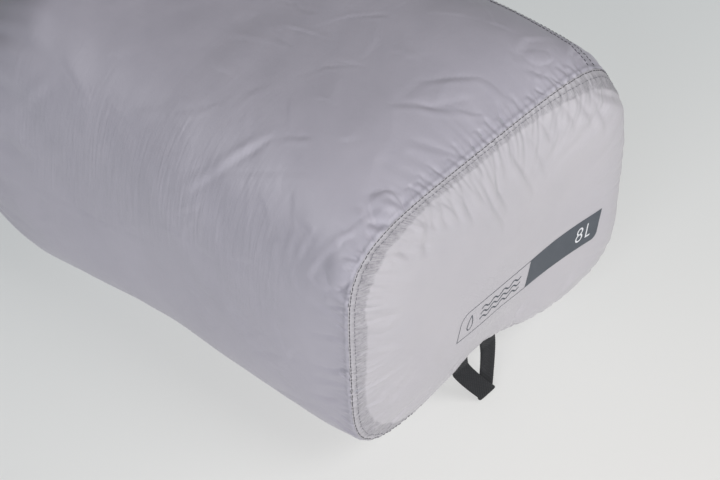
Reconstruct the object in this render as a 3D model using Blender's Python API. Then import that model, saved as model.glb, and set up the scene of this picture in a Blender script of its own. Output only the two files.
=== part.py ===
"""Roll-top dry sack, stuffed full and lying on its large back face.

Row frame: X across the sack, Y from the sewn bottom panel to the rolled mouth, Z up.
The origin is the centre of the flat patch the sack rests on. All sizes are in metres.
"""

import math

import bmesh
import bpy
from mathutils import Vector

MM = 0.001

# Sack
SEAM_Y = -145.0 * MM  # plane of the bottom seam
BASE_HALF_W = 95.0 * MM  # bottom panel, half width
BASE_HALF_H = 70.2 * MM  # bottom panel, half height
BASE_MID_Z = 87.2 * MM
BASE_POWER = 5.0  # squareness of the bottom panel's outline
BELLY_HALF_W = 99.6 * MM
BELLY_HALF_H = 87.0 * MM
BELLY_MID_Z = 85.2 * MM
BELLY_POWER = 3.14
BELLY_AT = 75.0 * MM  # the belly is full this far from the seam
BODY_END = 215.0 * MM  # the roof starts this far from the seam
ROOF_END = 315.0 * MM  # the mouth's lips, this far from the seam
LIP_HALF_W = 46.0 * MM
LIP_HALF_H = 4.9 * MM
LIP_POWER = 4.0
DOME = 13.0 * MM  # how far the bottom panel bulges
DOME_POWER = 3.2
CAP_RIM = 1.15 * MM  # from the seam plane to the bottom panel's edge
FABRIC = 0.9 * MM
GAP = 0.3 * MM
AROUND = 56
RINGS_MM = (0, 3, 9, 18, 32, 50, 75, 120, 168, 215, 237, 256, 272, 285, 296, 304, 310, 315)
CAP_SCALES = (1.0, 0.945, 0.86, 0.70, 0.46, 0.2)

# Lower edge pulled up where the haul loop is sewn in
PULL_X = -4.0 * MM
PULL = 11.0 * MM
PULL_WIDTH = 33.0 * MM
PULL_REACH = 26.0 * MM

# Seam tape and thread
TAPE = 0.5 * MM
THREAD_T = 0.4 * MM
THREAD_W = 0.10  # share of one facet's width
SIDE_SEAM_ELEVATION = math.radians(33.0)

# Haul loop
LOOP_W = 11.5 * MM
LOOP_T = 1.2 * MM
LOOP_X = -8.0 * MM
LOOP_DEPTH = 23.6 * MM
LOOP_SPREAD = 11.0 * MM  # half the distance between the sewn ends
LOOP_LEAN = math.radians(22.0)
LOOP_START = 1.6 * MM
LOOP_AXIS_Z = 22.9 * MM

# Rolled mouth and the ring it is bent into
RING_A = 75.0 * MM
RING_B = 46.0 * MM
ROLL_Y = 175.4 * MM
RING_Y = ROLL_Y + RING_B
RING_Z = 85.0 * MM
ROLL_HALF_W = 12.5 * MM
ROLL_HALF_T = 4.5 * MM
CORE_HALF_W = 11.3 * MM
CORE_HALF_T = 2.0 * MM
STRIP_HALF_W = 9.8 * MM
STRIP_HALF_T = 1.2 * MM
CENTRE_HALF = 50.0 * MM
ROLL_HALF_LENGTH = 155.0 * MM

# Side-release buckle for 20 mm webbing
BUCKLE_Y = RING_Y + RING_B - 1.5 * MM
BUCKLE_W = 27.0 * MM
BUCKLE_T = 8.6 * MM
BAR_X = 26.25 * MM
TAB_W = 19.6 * MM
TAB_T = 2.6 * MM
WRAP_T = 1.3 * MM
WRAP_R = 2.5 * MM

FABRIC_COLOUR = (0.52, 0.50, 0.56)
PANEL_COLOUR = (0.60, 0.59, 0.64)
THREAD_COLOUR = (0.22, 0.22, 0.26)
TAPE_COLOUR = (0.55, 0.55, 0.60)
WEB_COLOUR = (0.025, 0.026, 0.030)
BUCKLE_COLOUR = (0.035, 0.036, 0.040)


def clear_scene():
    for thing in list(bpy.data.objects):
        bpy.data.objects.remove(thing, do_unlink=True)


def material(name, colour, roughness, metallic=0.0):
    made = bpy.data.materials.new(name)
    made.use_nodes = True
    shader = made.node_tree.nodes["Principled BSDF"]
    shader.inputs["Base Color"].default_value = (*colour, 1.0)
    shader.inputs["Roughness"].default_value = roughness
    shader.inputs["Metallic"].default_value = metallic
    made.diffuse_color = (*colour, 1.0)
    return made


def new_object(name, bm, colour, roughness, origin=None):
    """Turn the bmesh into a named object with its own material. The origin sits on its joint."""
    bmesh.ops.recalc_face_normals(bm, faces=bm.faces)
    mesh = bpy.data.meshes.new(name)
    if origin is not None:
        bmesh.ops.translate(bm, verts=bm.verts, vec=-origin)
    bm.to_mesh(mesh)
    bm.free()
    made = bpy.data.objects.new(name, mesh)
    bpy.context.scene.collection.objects.link(made)
    if origin is not None:
        made.location = origin
    mesh.materials.append(material(name, colour, roughness))
    return made


def skin(bm, rings, closed=True):
    """Quads between neighbouring rings of points."""
    rows = [[bm.verts.new(point) for point in ring] for ring in rings]
    for low, high in zip(rows, rows[1:]):
        count = len(low)
        for i in range(count if closed else count - 1):
            j = (i + 1) % count
            bm.faces.new((low[i], low[j], high[j], high[i]))
    return rows


def solidify(made, thickness, offset):
    thick = made.modifiers.new("thickness", "SOLIDIFY")
    thick.thickness = thickness
    thick.offset = offset
    thick.use_even_offset = True
    thick.use_rim = True


def shell(name, rings, closed, thickness, offset, colour, roughness, cap=False):
    """A thin sheet through the rings. Its faces point away from the sack's inside."""
    bm = bmesh.new()
    rows = skin(bm, rings, closed)
    if cap:
        centre = sum((vert.co for vert in rows[-1]), Vector()) / len(rows[-1])
        tip = bm.verts.new(centre + Vector((0, -0.0006, 0)))
        last = rows[-1]
        for i, vert in enumerate(last):
            bm.faces.new((vert, last[(i + 1) % len(last)], tip))
    made = new_object(name, bm, colour, roughness)
    face_out(made)
    solidify(made, thickness, offset)
    return made


def face_out(made):
    """Point the sheet's normals away from the middle of the sack."""
    inside = Vector((0.0, 0.02, BELLY_MID_Z))
    total = 0.0
    for face in made.data.polygons:
        total += face.normal.dot(face.center - inside) * face.area
    if total < 0:
        made.data.flip_normals()


def superellipse(half_w, half_h, power, mid_z):
    """AROUND points at equal steps along the outline, from +X counter-clockwise."""
    fine = 20 * AROUND
    points = []
    for k in range(fine + 1):
        angle = 2 * math.pi * k / fine
        c = math.cos(angle)
        s = math.sin(angle)
        x = half_w * math.copysign(abs(c) ** (2 / power), c)
        z = half_h * math.copysign(abs(s) ** (2 / power), s)
        points.append((x, z))
    travelled = [0.0]
    for (x0, z0), (x1, z1) in zip(points, points[1:]):
        travelled.append(travelled[-1] + math.hypot(x1 - x0, z1 - z0))
    out = []
    k = 0
    for i in range(AROUND):
        wanted = travelled[-1] * i / AROUND
        while travelled[k + 1] < wanted:
            k += 1
        share = (wanted - travelled[k]) / (travelled[k + 1] - travelled[k])
        x = points[k][0] + share * (points[k + 1][0] - points[k][0])
        z = points[k][1] + share * (points[k + 1][1] - points[k][1])
        out.append((x, mid_z + z))
    return out


def mix(a, b, share):
    return a + (b - a) * share


def ring_lift(x):
    """How far the bent roll rises above its middle at this x."""
    return RING_B * (1 - math.sqrt(max(0.0, 1 - (x / RING_A) ** 2)))


def body_ring(s):
    """The sack's outline at a distance s from the bottom seam."""
    full = 1 - (1 - min(s / BELLY_AT, 1.0)) ** 2.5
    half_w = mix(BASE_HALF_W, BELLY_HALF_W, full)
    half_h = mix(BASE_HALF_H, BELLY_HALF_H, full)
    power = mix(BASE_POWER, BELLY_POWER, full)
    mid_z = mix(BASE_MID_Z, BELLY_MID_Z, full)
    roof = max(0.0, (s - BODY_END) / (ROOF_END - BODY_END))
    half_w = mix(half_w, LIP_HALF_W, roof**2.3)
    half_h = mix(half_h, LIP_HALF_H, roof**2.1)
    power = mix(power, LIP_POWER, roof**4)
    mid_z = mix(mid_z, RING_Z, roof)
    points = []
    for x, z in superellipse(half_w, half_h, power, mid_z):
        if z < mid_z:
            z += PULL * math.exp(-(((x - PULL_X) / PULL_WIDTH) ** 2)) * math.exp(-s / PULL_REACH)
        y = SEAM_Y + s + roof**3 * ring_lift(x)
        points.append(Vector((x, y, max(z, 0.0))))
    return points


def cap_ring(scale):
    """The bottom panel's outline, shrunk towards its middle and pushed out by the dome."""
    points = []
    for point in body_ring(0.0):
        x = point.x * scale
        z = BASE_MID_Z + (point.z - BASE_MID_Z) * scale
        y = SEAM_Y - CAP_RIM - DOME * (1 - scale**DOME_POWER)
        points.append(Vector((x, y, z)))
    return points


def between(low, high, share):
    return [a.lerp(b, share) for a, b in zip(low, high)]


def offset_rings(rings, closed, distance):
    """Move every point along the sheet's outward normal."""
    inside = Vector((0.0, 0.02, BELLY_MID_Z))
    out = []
    for r, ring in enumerate(rings):
        low = rings[max(r - 1, 0)]
        high = rings[min(r + 1, len(rings) - 1)]
        moved = []
        for i, point in enumerate(ring):
            before = ring[i - 1] if closed or i else ring[0]
            after = ring[(i + 1) % len(ring)] if closed or i + 1 < len(ring) else ring[-1]
            normal = (after - before).cross(high[i] - low[i]).normalized()
            if normal.dot(point - inside) < 0:
                normal = -normal
            moved.append(point + normal * distance)
        out.append(moved)
    return out


def sack():
    rings = [body_ring(s * MM) for s in RINGS_MM]
    caps = [cap_ring(scale) for scale in CAP_SCALES]
    shell("body_panel", rings, True, FABRIC, -1.0, FABRIC_COLOUR, 0.45)
    shell("bottom_panel", caps, True, FABRIC, -1.0, PANEL_COLOUR, 0.45, cap=True)

    tape = [between(caps[0], caps[1], 0.35), caps[1], caps[2]]
    tape = offset_rings(tape, True, -(FABRIC + GAP))
    shell("bottom_seam_tape", tape, True, TAPE, -1.0, TAPE_COLOUR, 0.6)

    for name, share in (("bottom_stitch_outer", 0.25), ("bottom_stitch_inner", 0.70)):
        row = [
            between(caps[0], caps[1], share - THREAD_W / 2),
            between(caps[0], caps[1], share + THREAD_W / 2),
        ]
        row = offset_rings(row, True, GAP)
        shell(name, row, True, THREAD_T, 1.0, THREAD_COLOUR, 0.8)

    facet = side_seam_facet(rings[7])
    columns = [(ring[facet], ring[facet + 1]) for ring in rings]
    tape = [[a.lerp(b, 0.06), a.lerp(b, 0.94)] for a, b in columns[2:-2]]
    tape = offset_rings(tape, False, -(FABRIC + GAP))
    shell("side_seam_tape", tape, False, TAPE, -1.0, TAPE_COLOUR, 0.6)
    for name, share in (("side_stitch_low", 0.38), ("side_stitch_high", 0.62)):
        row = [[a.lerp(b, share - 0.025), a.lerp(b, share + 0.025)] for a, b in columns[1:-1]]
        row = offset_rings(row, False, GAP)
        shell(name, row, False, THREAD_T, 1.0, THREAD_COLOUR, 0.8)


def side_seam_facet(ring):
    """The facet of the +X side whose outward normal rises by the side seam's elevation."""
    best = 0
    least = 10.0
    for i in range(AROUND // 4):
        step = ring[i + 1] - ring[i]
        rise = math.atan2(-step.x, step.z)
        if abs(rise - SIDE_SEAM_ELEVATION) < least:
            least = abs(rise - SIDE_SEAM_ELEVATION)
            best = i
    return best


def loop_frame():
    axis = Vector((LOOP_X, SEAM_Y - CAP_RIM, LOOP_AXIS_Z))
    down = Vector((0.0, -math.sin(LOOP_LEAN), -math.cos(LOOP_LEAN)))
    out = Vector((0.0, -math.cos(LOOP_LEAN), math.sin(LOOP_LEAN)))
    return axis, down, out


def haul_loop():
    """A strip of webbing folded once: its crease is the bottom, its two ends are in the seam."""
    axis, down, out = loop_frame()
    fold = LOOP_T / 2 + 0.25 * MM
    straight = LOOP_DEPTH - fold - LOOP_T / 2
    path = []
    steps = 6
    for i in range(steps + 1):
        share = i / steps
        depth = mix(LOOP_START, straight, share)
        path.append((-LOOP_SPREAD * (1 - share), depth, mix(0.4 * MM, fold, share)))
    turns = 6
    for i in range(1, turns):
        angle = math.pi * i / turns
        path.append((0.0, straight + fold * math.sin(angle), fold * math.cos(angle)))
    for i in range(steps + 1):
        share = i / steps
        depth = mix(straight, LOOP_START, share)
        path.append((LOOP_SPREAD * share, depth, -mix(fold, 0.4 * MM, share)))
    rings = []
    for i, (x, depth, lift) in enumerate(path):
        before = path[max(i - 1, 0)]
        after = path[min(i + 1, len(path) - 1)]
        run = Vector((0.0, after[1] - before[1], after[2] - before[2])).normalized()
        normal = down * -run.z + out * run.y
        centre = axis + Vector((x, 0, 0)) + down * depth + out * lift
        across = Vector((LOOP_W / 2, 0, 0))
        thick = normal * (LOOP_T / 2)
        rings.append(
            [
                centre - across - thick,
                centre + across - thick,
                centre + across + thick,
                centre - across + thick,
            ]
        )
    bm = bmesh.new()
    rows = skin(bm, rings)
    bm.faces.new(rows[0])
    bm.faces.new(rows[-1])
    new_object("haul_loop", bm, WEB_COLOUR, 0.75, axis)


def ring_at(angle):
    """Point, direction of travel and outward normal on the ring, angle 0 at the roll's middle."""
    point = Vector((RING_A * math.sin(angle), RING_Y - RING_B * math.cos(angle), RING_Z))
    travel = Vector((RING_A * math.cos(angle), RING_B * math.sin(angle), 0)).normalized()
    outward = Vector((travel.y, -travel.x, 0))
    return point, travel, outward


def angle_at(length):
    """The ring angle at an arc length from the roll's middle."""
    steps = 2000
    angle = 0.0
    travelled = 0.0
    step = math.pi / steps
    while travelled < length and angle < math.pi:
        middle = angle + step / 2
        travelled += math.hypot(RING_A * math.cos(middle), RING_B * math.sin(middle)) * step
        angle += step
    return angle


def flat_oval(half_t, half_w, count=16, power=3.0):
    points = []
    for i in range(count):
        angle = 2 * math.pi * (i + 0.5) / count
        c = math.cos(angle)
        s = math.sin(angle)
        u = half_t * math.copysign(abs(c) ** (2 / power), c)
        v = half_w * math.copysign(abs(s) ** (2 / power), s)
        points.append((u, v))
    return points


def swept(angles, section):
    rings = []
    for angle in angles:
        point, _, outward = ring_at(angle)
        rings.append([point + outward * u + Vector((0, 0, v)) for u, v in section])
    return rings


def spread(first, last, count):
    return [mix(first, last, i / (count - 1)) for i in range(count)]


def roll(name, first, last, count, origin=None):
    """A length of the rolled mouth: a flattened tube round the stiffening strip."""
    angles = spread(first, last, count)
    bm = bmesh.new()
    outer = skin(bm, swept(angles, flat_oval(ROLL_HALF_T, ROLL_HALF_W)))
    inner = skin(bm, swept(angles, flat_oval(CORE_HALF_T, CORE_HALF_W, power=8.0)))
    for end in (0, -1):
        for i in range(len(outer[end])):
            j = (i + 1) % len(outer[end])
            bm.faces.new((outer[end][i], outer[end][j], inner[end][j], inner[end][i]))
    return new_object(name, bm, FABRIC_COLOUR, 0.5, origin)


def strip(name, first, last, count, origin=None):
    t = STRIP_HALF_T
    w = STRIP_HALF_W
    section = ((-t, -w), (t, -w), (t, w), (-t, w))
    bm = bmesh.new()
    rows = skin(bm, swept(spread(first, last, count), section))
    bm.faces.new(rows[0])
    bm.faces.new(rows[-1])
    return new_object(name, bm, TAPE_COLOUR, 0.6, origin)


def hinge_point(side):
    """Lower corner of the roll where an arm meets the middle."""
    angle = angle_at(CENTRE_HALF)
    point, _, outward = ring_at(angle)
    point = point + outward * (ROLL_HALF_T + 0.3 * MM)
    return Vector((side * point.x, point.y, point.z))


def rolled_mouth():
    half = angle_at(CENTRE_HALF)
    gap = 0.006
    roll("rolled_mouth_centre", -half + gap / 2, half - gap / 2, 11)
    strip("mouth_strip_centre", -half + 0.03, half - 0.03, 11)
    end = angle_at(ROLL_HALF_LENGTH)
    inner_end = angle_at(ROLL_HALF_LENGTH - 8.5 * MM)
    for side, word in ((-1, "left"), (1, "right")):
        pivot = hinge_point(side)
        roll(f"rolled_mouth_{word}", side * (half + gap), side * end, 12, pivot)
        strip(f"mouth_strip_{word}", side * (half + 0.03), side * inner_end, 12, pivot)


def box_bm(low, high):
    bm = bmesh.new()
    bmesh.ops.create_cube(bm, size=1.0)
    size = Vector(high) - Vector(low)
    middle = (Vector(high) + Vector(low)) / 2
    bmesh.ops.scale(bm, verts=bm.verts, vec=size)
    bmesh.ops.translate(bm, verts=bm.verts, vec=middle)
    return bm


def cutter(name, low, high):
    bm = box_bm(low, high)
    made = new_object(name, bm, WEB_COLOUR, 0.5)
    made.hide_render = True
    made.display_type = "WIRE"
    return made


def cut(target, tool):
    made = target.modifiers.new(tool.name, "BOOLEAN")
    made.operation = "DIFFERENCE"
    made.solver = "EXACT"
    made.object = tool


def round_edges(made, width, segments=1):
    bevel = made.modifiers.new("edges", "BEVEL")
    bevel.width = width
    bevel.segments = segments
    bevel.limit_method = "ANGLE"
    bevel.angle_limit = math.radians(40)


def outline_solid(name, points, low_y, high_y, colour, roughness, origin=None):
    """A flat outline in X and Z, carried through the buckle's thickness."""
    bm = bmesh.new()
    low = [bm.verts.new((x, low_y, z)) for x, z in points]
    high = [bm.verts.new((x, high_y, z)) for x, z in points]
    bm.faces.new(low)
    bm.faces.new(list(reversed(high)))
    for i in range(len(points)):
        j = (i + 1) % len(points)
        bm.faces.new((low[j], low[i], high[i], high[j]))
    return new_object(name, bm, colour, roughness, origin)


def mirrored(points, mid_z):
    """The upper half of an outline, completed by its mirror image in the plane z = mid_z."""
    return points + [(x, 2 * mid_z - z) for x, z in reversed(points)]


def buckle_socket(origin):
    m = MM
    y = BUCKLE_Y
    z = RING_Z
    half = BUCKLE_W / 2
    upper = [(-27.8, 10.6), (-26.3, 12.4), (-18.0, 13.0), (-14.0, half / m), (4.0, half / m)]
    upper = [(a * m, z + b * m) for a, b in upper] + [(5.0 * m, z + half - 1.0 * m)]
    thick = BUCKLE_T / 2
    made = outline_solid(
        "buckle_socket", mirrored(upper, z), y - thick, y + thick, BUCKLE_COLOUR, 0.4, origin
    )
    round_edges(made, 0.9 * m)
    cavity = 2.75 * m
    wide = half - 2.2 * m
    cut(made, cutter("socket_cavity", (-13.2 * m, y - cavity, z - wide), (8 * m, y + cavity, z + wide)))
    window = ((-12.0 * m, y - cavity + 0.1 * m, z - 20 * m), (-2.0 * m, y + cavity - 0.1 * m, z + 20 * m))
    cut(made, cutter("socket_window", *window))
    slot = ((-24.7 * m, y - 20 * m, z - 10.5 * m), (-17.6 * m, y + 20 * m, z + 10.5 * m))
    cut(made, cutter("socket_web_slot", *slot))
    for sign in (-1, 1):
        low = y + (1.6 * m if sign > 0 else -20 * m)
        high = y + (20 * m if sign > 0 else -1.6 * m)
        name = "socket_bar_relief_" + ("top" if sign > 0 else "bottom")
        cut(made, cutter(name, (-40 * m, low, z - 10.5 * m), (-17.6 * m, high, z + 10.5 * m)))
    return made


def buckle_plug(origin):
    m = MM
    y = BUCKLE_Y
    z = RING_Z
    upper = [(-9.5, 1.6), (-8.2, 2.4), (5.4, 2.6), (5.4, 6.4), (8.6, 6.4), (8.6, 10.9), (6.2, 11.4)]
    upper += [(6.2, 12.6), (7.4, 13.5), (18.0, 13.0), (26.3, 12.4), (27.8, 10.6)]
    points = mirrored([(a * m, z + b * m) for a, b in upper], z)
    made = outline_solid("buckle_plug", points, y - 2.4 * m, y + 2.4 * m, BUCKLE_COLOUR, 0.4, origin)
    slot = ((17.6 * m, y - 20 * m, z - 10.5 * m), (24.7 * m, y + 20 * m, z + 10.5 * m))
    cut(made, cutter("plug_web_slot", *slot))
    for sign in (-1, 1):
        low = y + (1.6 * m if sign > 0 else -20 * m)
        high = y + (20 * m if sign > 0 else -1.6 * m)
        name = "plug_bar_relief_" + ("top" if sign > 0 else "bottom")
        cut(made, cutter(name, (17.6 * m, low, z - 10.5 * m), (40 * m, high, z + 10.5 * m)))
    return made


def prong_pivot(sign):
    return Vector((7.0 * MM, BUCKLE_Y, RING_Z + sign * 8.6 * MM))


def buckle_prongs():
    m = MM
    outline = [
        (8.2, 7.1),
        (8.2, 10.1),
        (4.0, 10.4),
        (-2.6, 10.6),
        (-3.0, 13.1),
        (-5.5, 13.2),
        (-10.6, 9.2),
        (-10.6, 8.0),
        (-8.0, 7.6),
        (2.0, 7.1),
    ]
    for sign, word in ((1, "upper"), (-1, "lower")):
        points = [(a * m, RING_Z + sign * b * m) for a, b in outline]
        outline_solid(
            f"buckle_prong_{word}",
            points,
            BUCKLE_Y - 2.3 * m,
            BUCKLE_Y + 2.3 * m,
            BUCKLE_COLOUR,
            0.4,
            prong_pivot(sign),
        )


def tab_run(side):
    """Bar centre, direction towards the roll's end, and outward normal of a webbing tab."""
    end_point, travel, _ = ring_at(side * angle_at(ROLL_HALF_LENGTH - 4.0 * MM))
    bar = Vector((side * BAR_X, BUCKLE_Y, RING_Z))
    reach = end_point - bar
    along = reach.normalized()
    outward = Vector((-along.y, along.x, 0)) * -side
    if outward.y < 0:
        outward = -outward
    return bar, along, outward, reach.length


def buckle_tab(side, word, origin):
    """Webbing folded round the buckle's bar, its two layers running into the rolled mouth."""
    bar, along, outward, reach = tab_run(side)
    half = TAB_T / 2
    wrap = WRAP_R + WRAP_T
    start = math.asin(half / wrap)
    outer = []
    turns = 14
    for i in range(turns + 1):
        angle = start + (2 * math.pi - 2 * start) * i / turns
        outer.append(bar + (along * math.cos(angle) + outward * math.sin(angle)) * wrap)
    outer.append(bar + along * reach - outward * half)
    outer.append(bar + along * reach + outward * half)
    inner = []
    for i in range(16):
        angle = 2 * math.pi * i / 16
        inner.append(bar + (along * math.cos(angle) + outward * math.sin(angle)) * WRAP_R)
    bm = bmesh.new()
    lift = Vector((0, 0, TAB_W / 2))
    for outline in (outer, inner):
        low = [bm.verts.new(point - lift) for point in outline]
        high = [bm.verts.new(point + lift) for point in outline]
        for i in range(len(outline)):
            j = (i + 1) % len(outline)
            bm.faces.new((low[i], low[j], high[j], high[i]))
    bm.verts.ensure_lookup_table()
    top = [vert for vert in bm.verts if vert.co.z > RING_Z]
    for group in (top, [vert for vert in bm.verts if vert.co.z < RING_Z]):
        inside = set(group)
        edges = [edge for edge in bm.edges if edge.verts[0] in inside and edge.verts[1] in inside]
        bmesh.ops.triangle_fill(bm, edges=edges, use_beauty=True)
    return new_object(f"buckle_tab_{word}", bm, WEB_COLOUR, 0.75, origin)


def tab_bartack(side, word, origin):
    """Dense zigzag of thread across the tab, between the buckle and the rolled mouth."""
    bar, along, outward, _ = tab_run(side)
    middle = bar + along * 6.2 * MM + outward * (TAB_T / 2 + GAP + 0.25 * MM)
    bm = bmesh.new()
    corners = []
    for z in (-8.0 * MM, 8.0 * MM):
        for a, b in ((-0.9, -0.25), (0.9, -0.25), (0.9, 0.25), (-0.9, 0.25)):
            point = middle + along * a * MM + outward * b * MM + Vector((0, 0, z))
            corners.append(bm.verts.new(point))
    low = corners[:4]
    high = corners[4:]
    bm.faces.new(low)
    bm.faces.new(list(reversed(high)))
    for i in range(4):
        j = (i + 1) % 4
        bm.faces.new((low[j], low[i], high[i], high[j]))
    return new_object(f"tab_bartack_{word}", bm, THREAD_COLOUR, 0.8, origin)


def closure():
    rolled_mouth()
    for side, word in ((-1, "left"), (1, "right")):
        pivot = hinge_point(side)
        buckle_tab(side, word, pivot)
        tab_bartack(side, word, pivot)
    buckle_socket(hinge_point(-1))
    buckle_plug(hinge_point(1))
    buckle_prongs()


clear_scene()
sack()
haul_loop()
closure()
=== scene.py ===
"""Looks of a stuffed roll-top dry sack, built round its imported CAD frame."""

import math

import bmesh
import bpy
import numpy as np
from mathutils import Matrix, Vector
from mathutils.bvhtree import BVHTree


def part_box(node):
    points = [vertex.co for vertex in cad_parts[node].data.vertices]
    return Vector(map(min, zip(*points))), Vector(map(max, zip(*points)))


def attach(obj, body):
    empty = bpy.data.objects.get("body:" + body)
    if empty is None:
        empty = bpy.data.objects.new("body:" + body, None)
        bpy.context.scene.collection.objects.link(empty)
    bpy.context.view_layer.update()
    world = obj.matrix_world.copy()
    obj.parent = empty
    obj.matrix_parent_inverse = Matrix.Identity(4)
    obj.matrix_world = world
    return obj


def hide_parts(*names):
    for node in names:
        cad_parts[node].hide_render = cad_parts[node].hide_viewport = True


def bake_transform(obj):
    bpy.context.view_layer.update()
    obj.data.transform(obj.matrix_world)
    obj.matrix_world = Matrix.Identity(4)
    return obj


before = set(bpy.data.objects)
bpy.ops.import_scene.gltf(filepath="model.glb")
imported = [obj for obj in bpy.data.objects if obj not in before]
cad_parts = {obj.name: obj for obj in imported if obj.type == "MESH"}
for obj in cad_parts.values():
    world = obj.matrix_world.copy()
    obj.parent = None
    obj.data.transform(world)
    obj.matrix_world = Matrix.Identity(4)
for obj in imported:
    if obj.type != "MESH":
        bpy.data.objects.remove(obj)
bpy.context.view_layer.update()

MM = 0.001

# The sack's sizes, as in the CAD frame
SEAM_Y = float(np.array(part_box("body_panel")[0])[1])
BASE_HALF = (95.0 * MM, 70.2 * MM)
BASE_MID_Z = 87.2 * MM
BASE_POWER = 5.0
BELLY_HALF = (99.6 * MM, 87.0 * MM)
BELLY_MID_Z = 85.2 * MM
BELLY_POWER = 3.14
BELLY_AT = 75.0 * MM
BODY_END = 215.0 * MM
DOME = 13.0 * MM
DOME_POWER = 3.2
PULL_X = -4.0 * MM
PULL = 11.0 * MM
PULL_WIDTH = 33.0 * MM
PULL_REACH = 26.0 * MM

AROUND = 880
SIM_AROUND = 288
SIM_REACH = 130.0 * MM
SIM_CAP_INNER = 0.35


def outlines(half_w, half_h, power, mid_z, count):
    """Superellipses, one per row, each as count points at equal steps from +X counter-clockwise."""
    angle = np.linspace(0, 2 * math.pi, 10 * count + 1)
    c = np.cos(angle)
    s = np.sin(angle)
    rows = []
    for w, h, p, z0 in zip(half_w, half_h, power, mid_z):
        x = w * np.sign(c) * np.abs(c) ** (2 / p)
        z = h * np.sign(s) * np.abs(s) ** (2 / p)
        step = np.hypot(np.diff(x), np.diff(z))
        travelled = np.concatenate([[0.0], np.cumsum(step)])
        wanted = travelled[-1] * np.arange(count) / count
        rows.append(np.stack([np.interp(wanted, travelled, x), z0 + np.interp(wanted, travelled, z)], 1))
    return np.array(rows)


def mix(a, b, share):
    return a + (b - a) * share


def smooth(low, high, value):
    """0 at low, 1 at high, eased between them. low may be the larger number."""
    t = np.clip((value - low) / (high - low), 0.0, 1.0)
    return t * t * (3 - 2 * t)


def body_grid(s_rows, count):
    """The sack's smooth outer surface: rows of points at distances s from the bottom seam."""
    s = np.asarray(s_rows)
    full = 1 - (1 - np.minimum(s / BELLY_AT, 1.0)) ** 2.5
    half_w = mix(BASE_HALF[0], BELLY_HALF[0], full)
    half_h = mix(BASE_HALF[1], BELLY_HALF[1], full)
    power = mix(BASE_POWER, BELLY_POWER, full)
    mid_z = mix(BASE_MID_Z, BELLY_MID_Z, full)
    flat = outlines(half_w, half_h, power, mid_z, count)
    x = flat[:, :, 0]
    z = flat[:, :, 1]
    pull = PULL * np.exp(-(((x - PULL_X) / PULL_WIDTH) ** 2)) * np.exp(-s[:, None] / PULL_REACH)
    z = np.where(z < mid_z[:, None], z + pull, z)
    z = np.maximum(z, 0.0)
    y = np.repeat(SEAM_Y + s[:, None], count, 1)
    return np.stack([x, y, z], 2)


def cap_grid(scales, count):
    """The bottom panel's smooth outer surface: the seam's outline shrunk towards its middle."""
    rim = body_grid([0.0], count)[0]
    k = np.asarray(scales)[:, None]
    x = rim[None, :, 0] * k
    z = BASE_MID_Z + (rim[None, :, 2] - BASE_MID_Z) * k
    y = SEAM_Y - DOME * (1 - k**DOME_POWER) + 0 * x
    return np.stack([x, y, z], 2)


def grid_normals(grid):
    """Outward unit normals of a grid of rows that close on themselves."""
    around = np.roll(grid, -1, 1) - np.roll(grid, 1, 1)
    along = np.empty_like(grid)
    along[1:-1] = grid[2:] - grid[:-2]
    along[0] = grid[1] - grid[0]
    along[-1] = grid[-1] - grid[-2]
    normal = np.cross(around, along)
    length = np.linalg.norm(normal, axis=2, keepdims=True)
    normal = normal / np.maximum(length, 1e-12)
    outwards = ((grid - np.array([0.0, 0.02, BELLY_MID_Z])) * normal).sum()
    return normal if outwards > 0 else -normal


def steps(pairs):
    """Distances that grow by each (end, step) in turn."""
    out = [0.0]
    for end, step in pairs:
        count = max(1, int(round((end - out[-1]) / step)))
        out += list(np.linspace(out[-1], end, count + 1)[1:])
    return np.array(out)


# ---------------------------------------------------------------- cloth simulation


def gather_share(rim):
    """How much cloth is gathered into the bottom seam at each point round it."""
    x = rim[:, 0] / BASE_HALF[0]
    z = (rim[:, 2] - BASE_MID_Z) / BASE_HALF[1]
    corner = smooth(0.62, 0.95, np.abs(x)) * smooth(0.55, 0.95, np.abs(z))
    left_top = smooth(0.2, 0.9, -x) * smooth(0.0, 0.8, z)
    return 0.026 + 0.030 * corner + 0.022 * left_top


def pull_together(a, b, rest, wa, wb, stiffness):
    """Move two arrays of points along the lines that join them, towards their rest distance."""
    d = b - a
    length = np.sqrt((d * d).sum(-1))
    total = wa + wb
    push = np.where(total > 0, stiffness * (length - rest) / np.maximum(length * total, 1e-9), 0.0)
    d *= push[..., None]
    a += d * wa[..., None]
    b -= d * wb[..., None]


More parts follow.
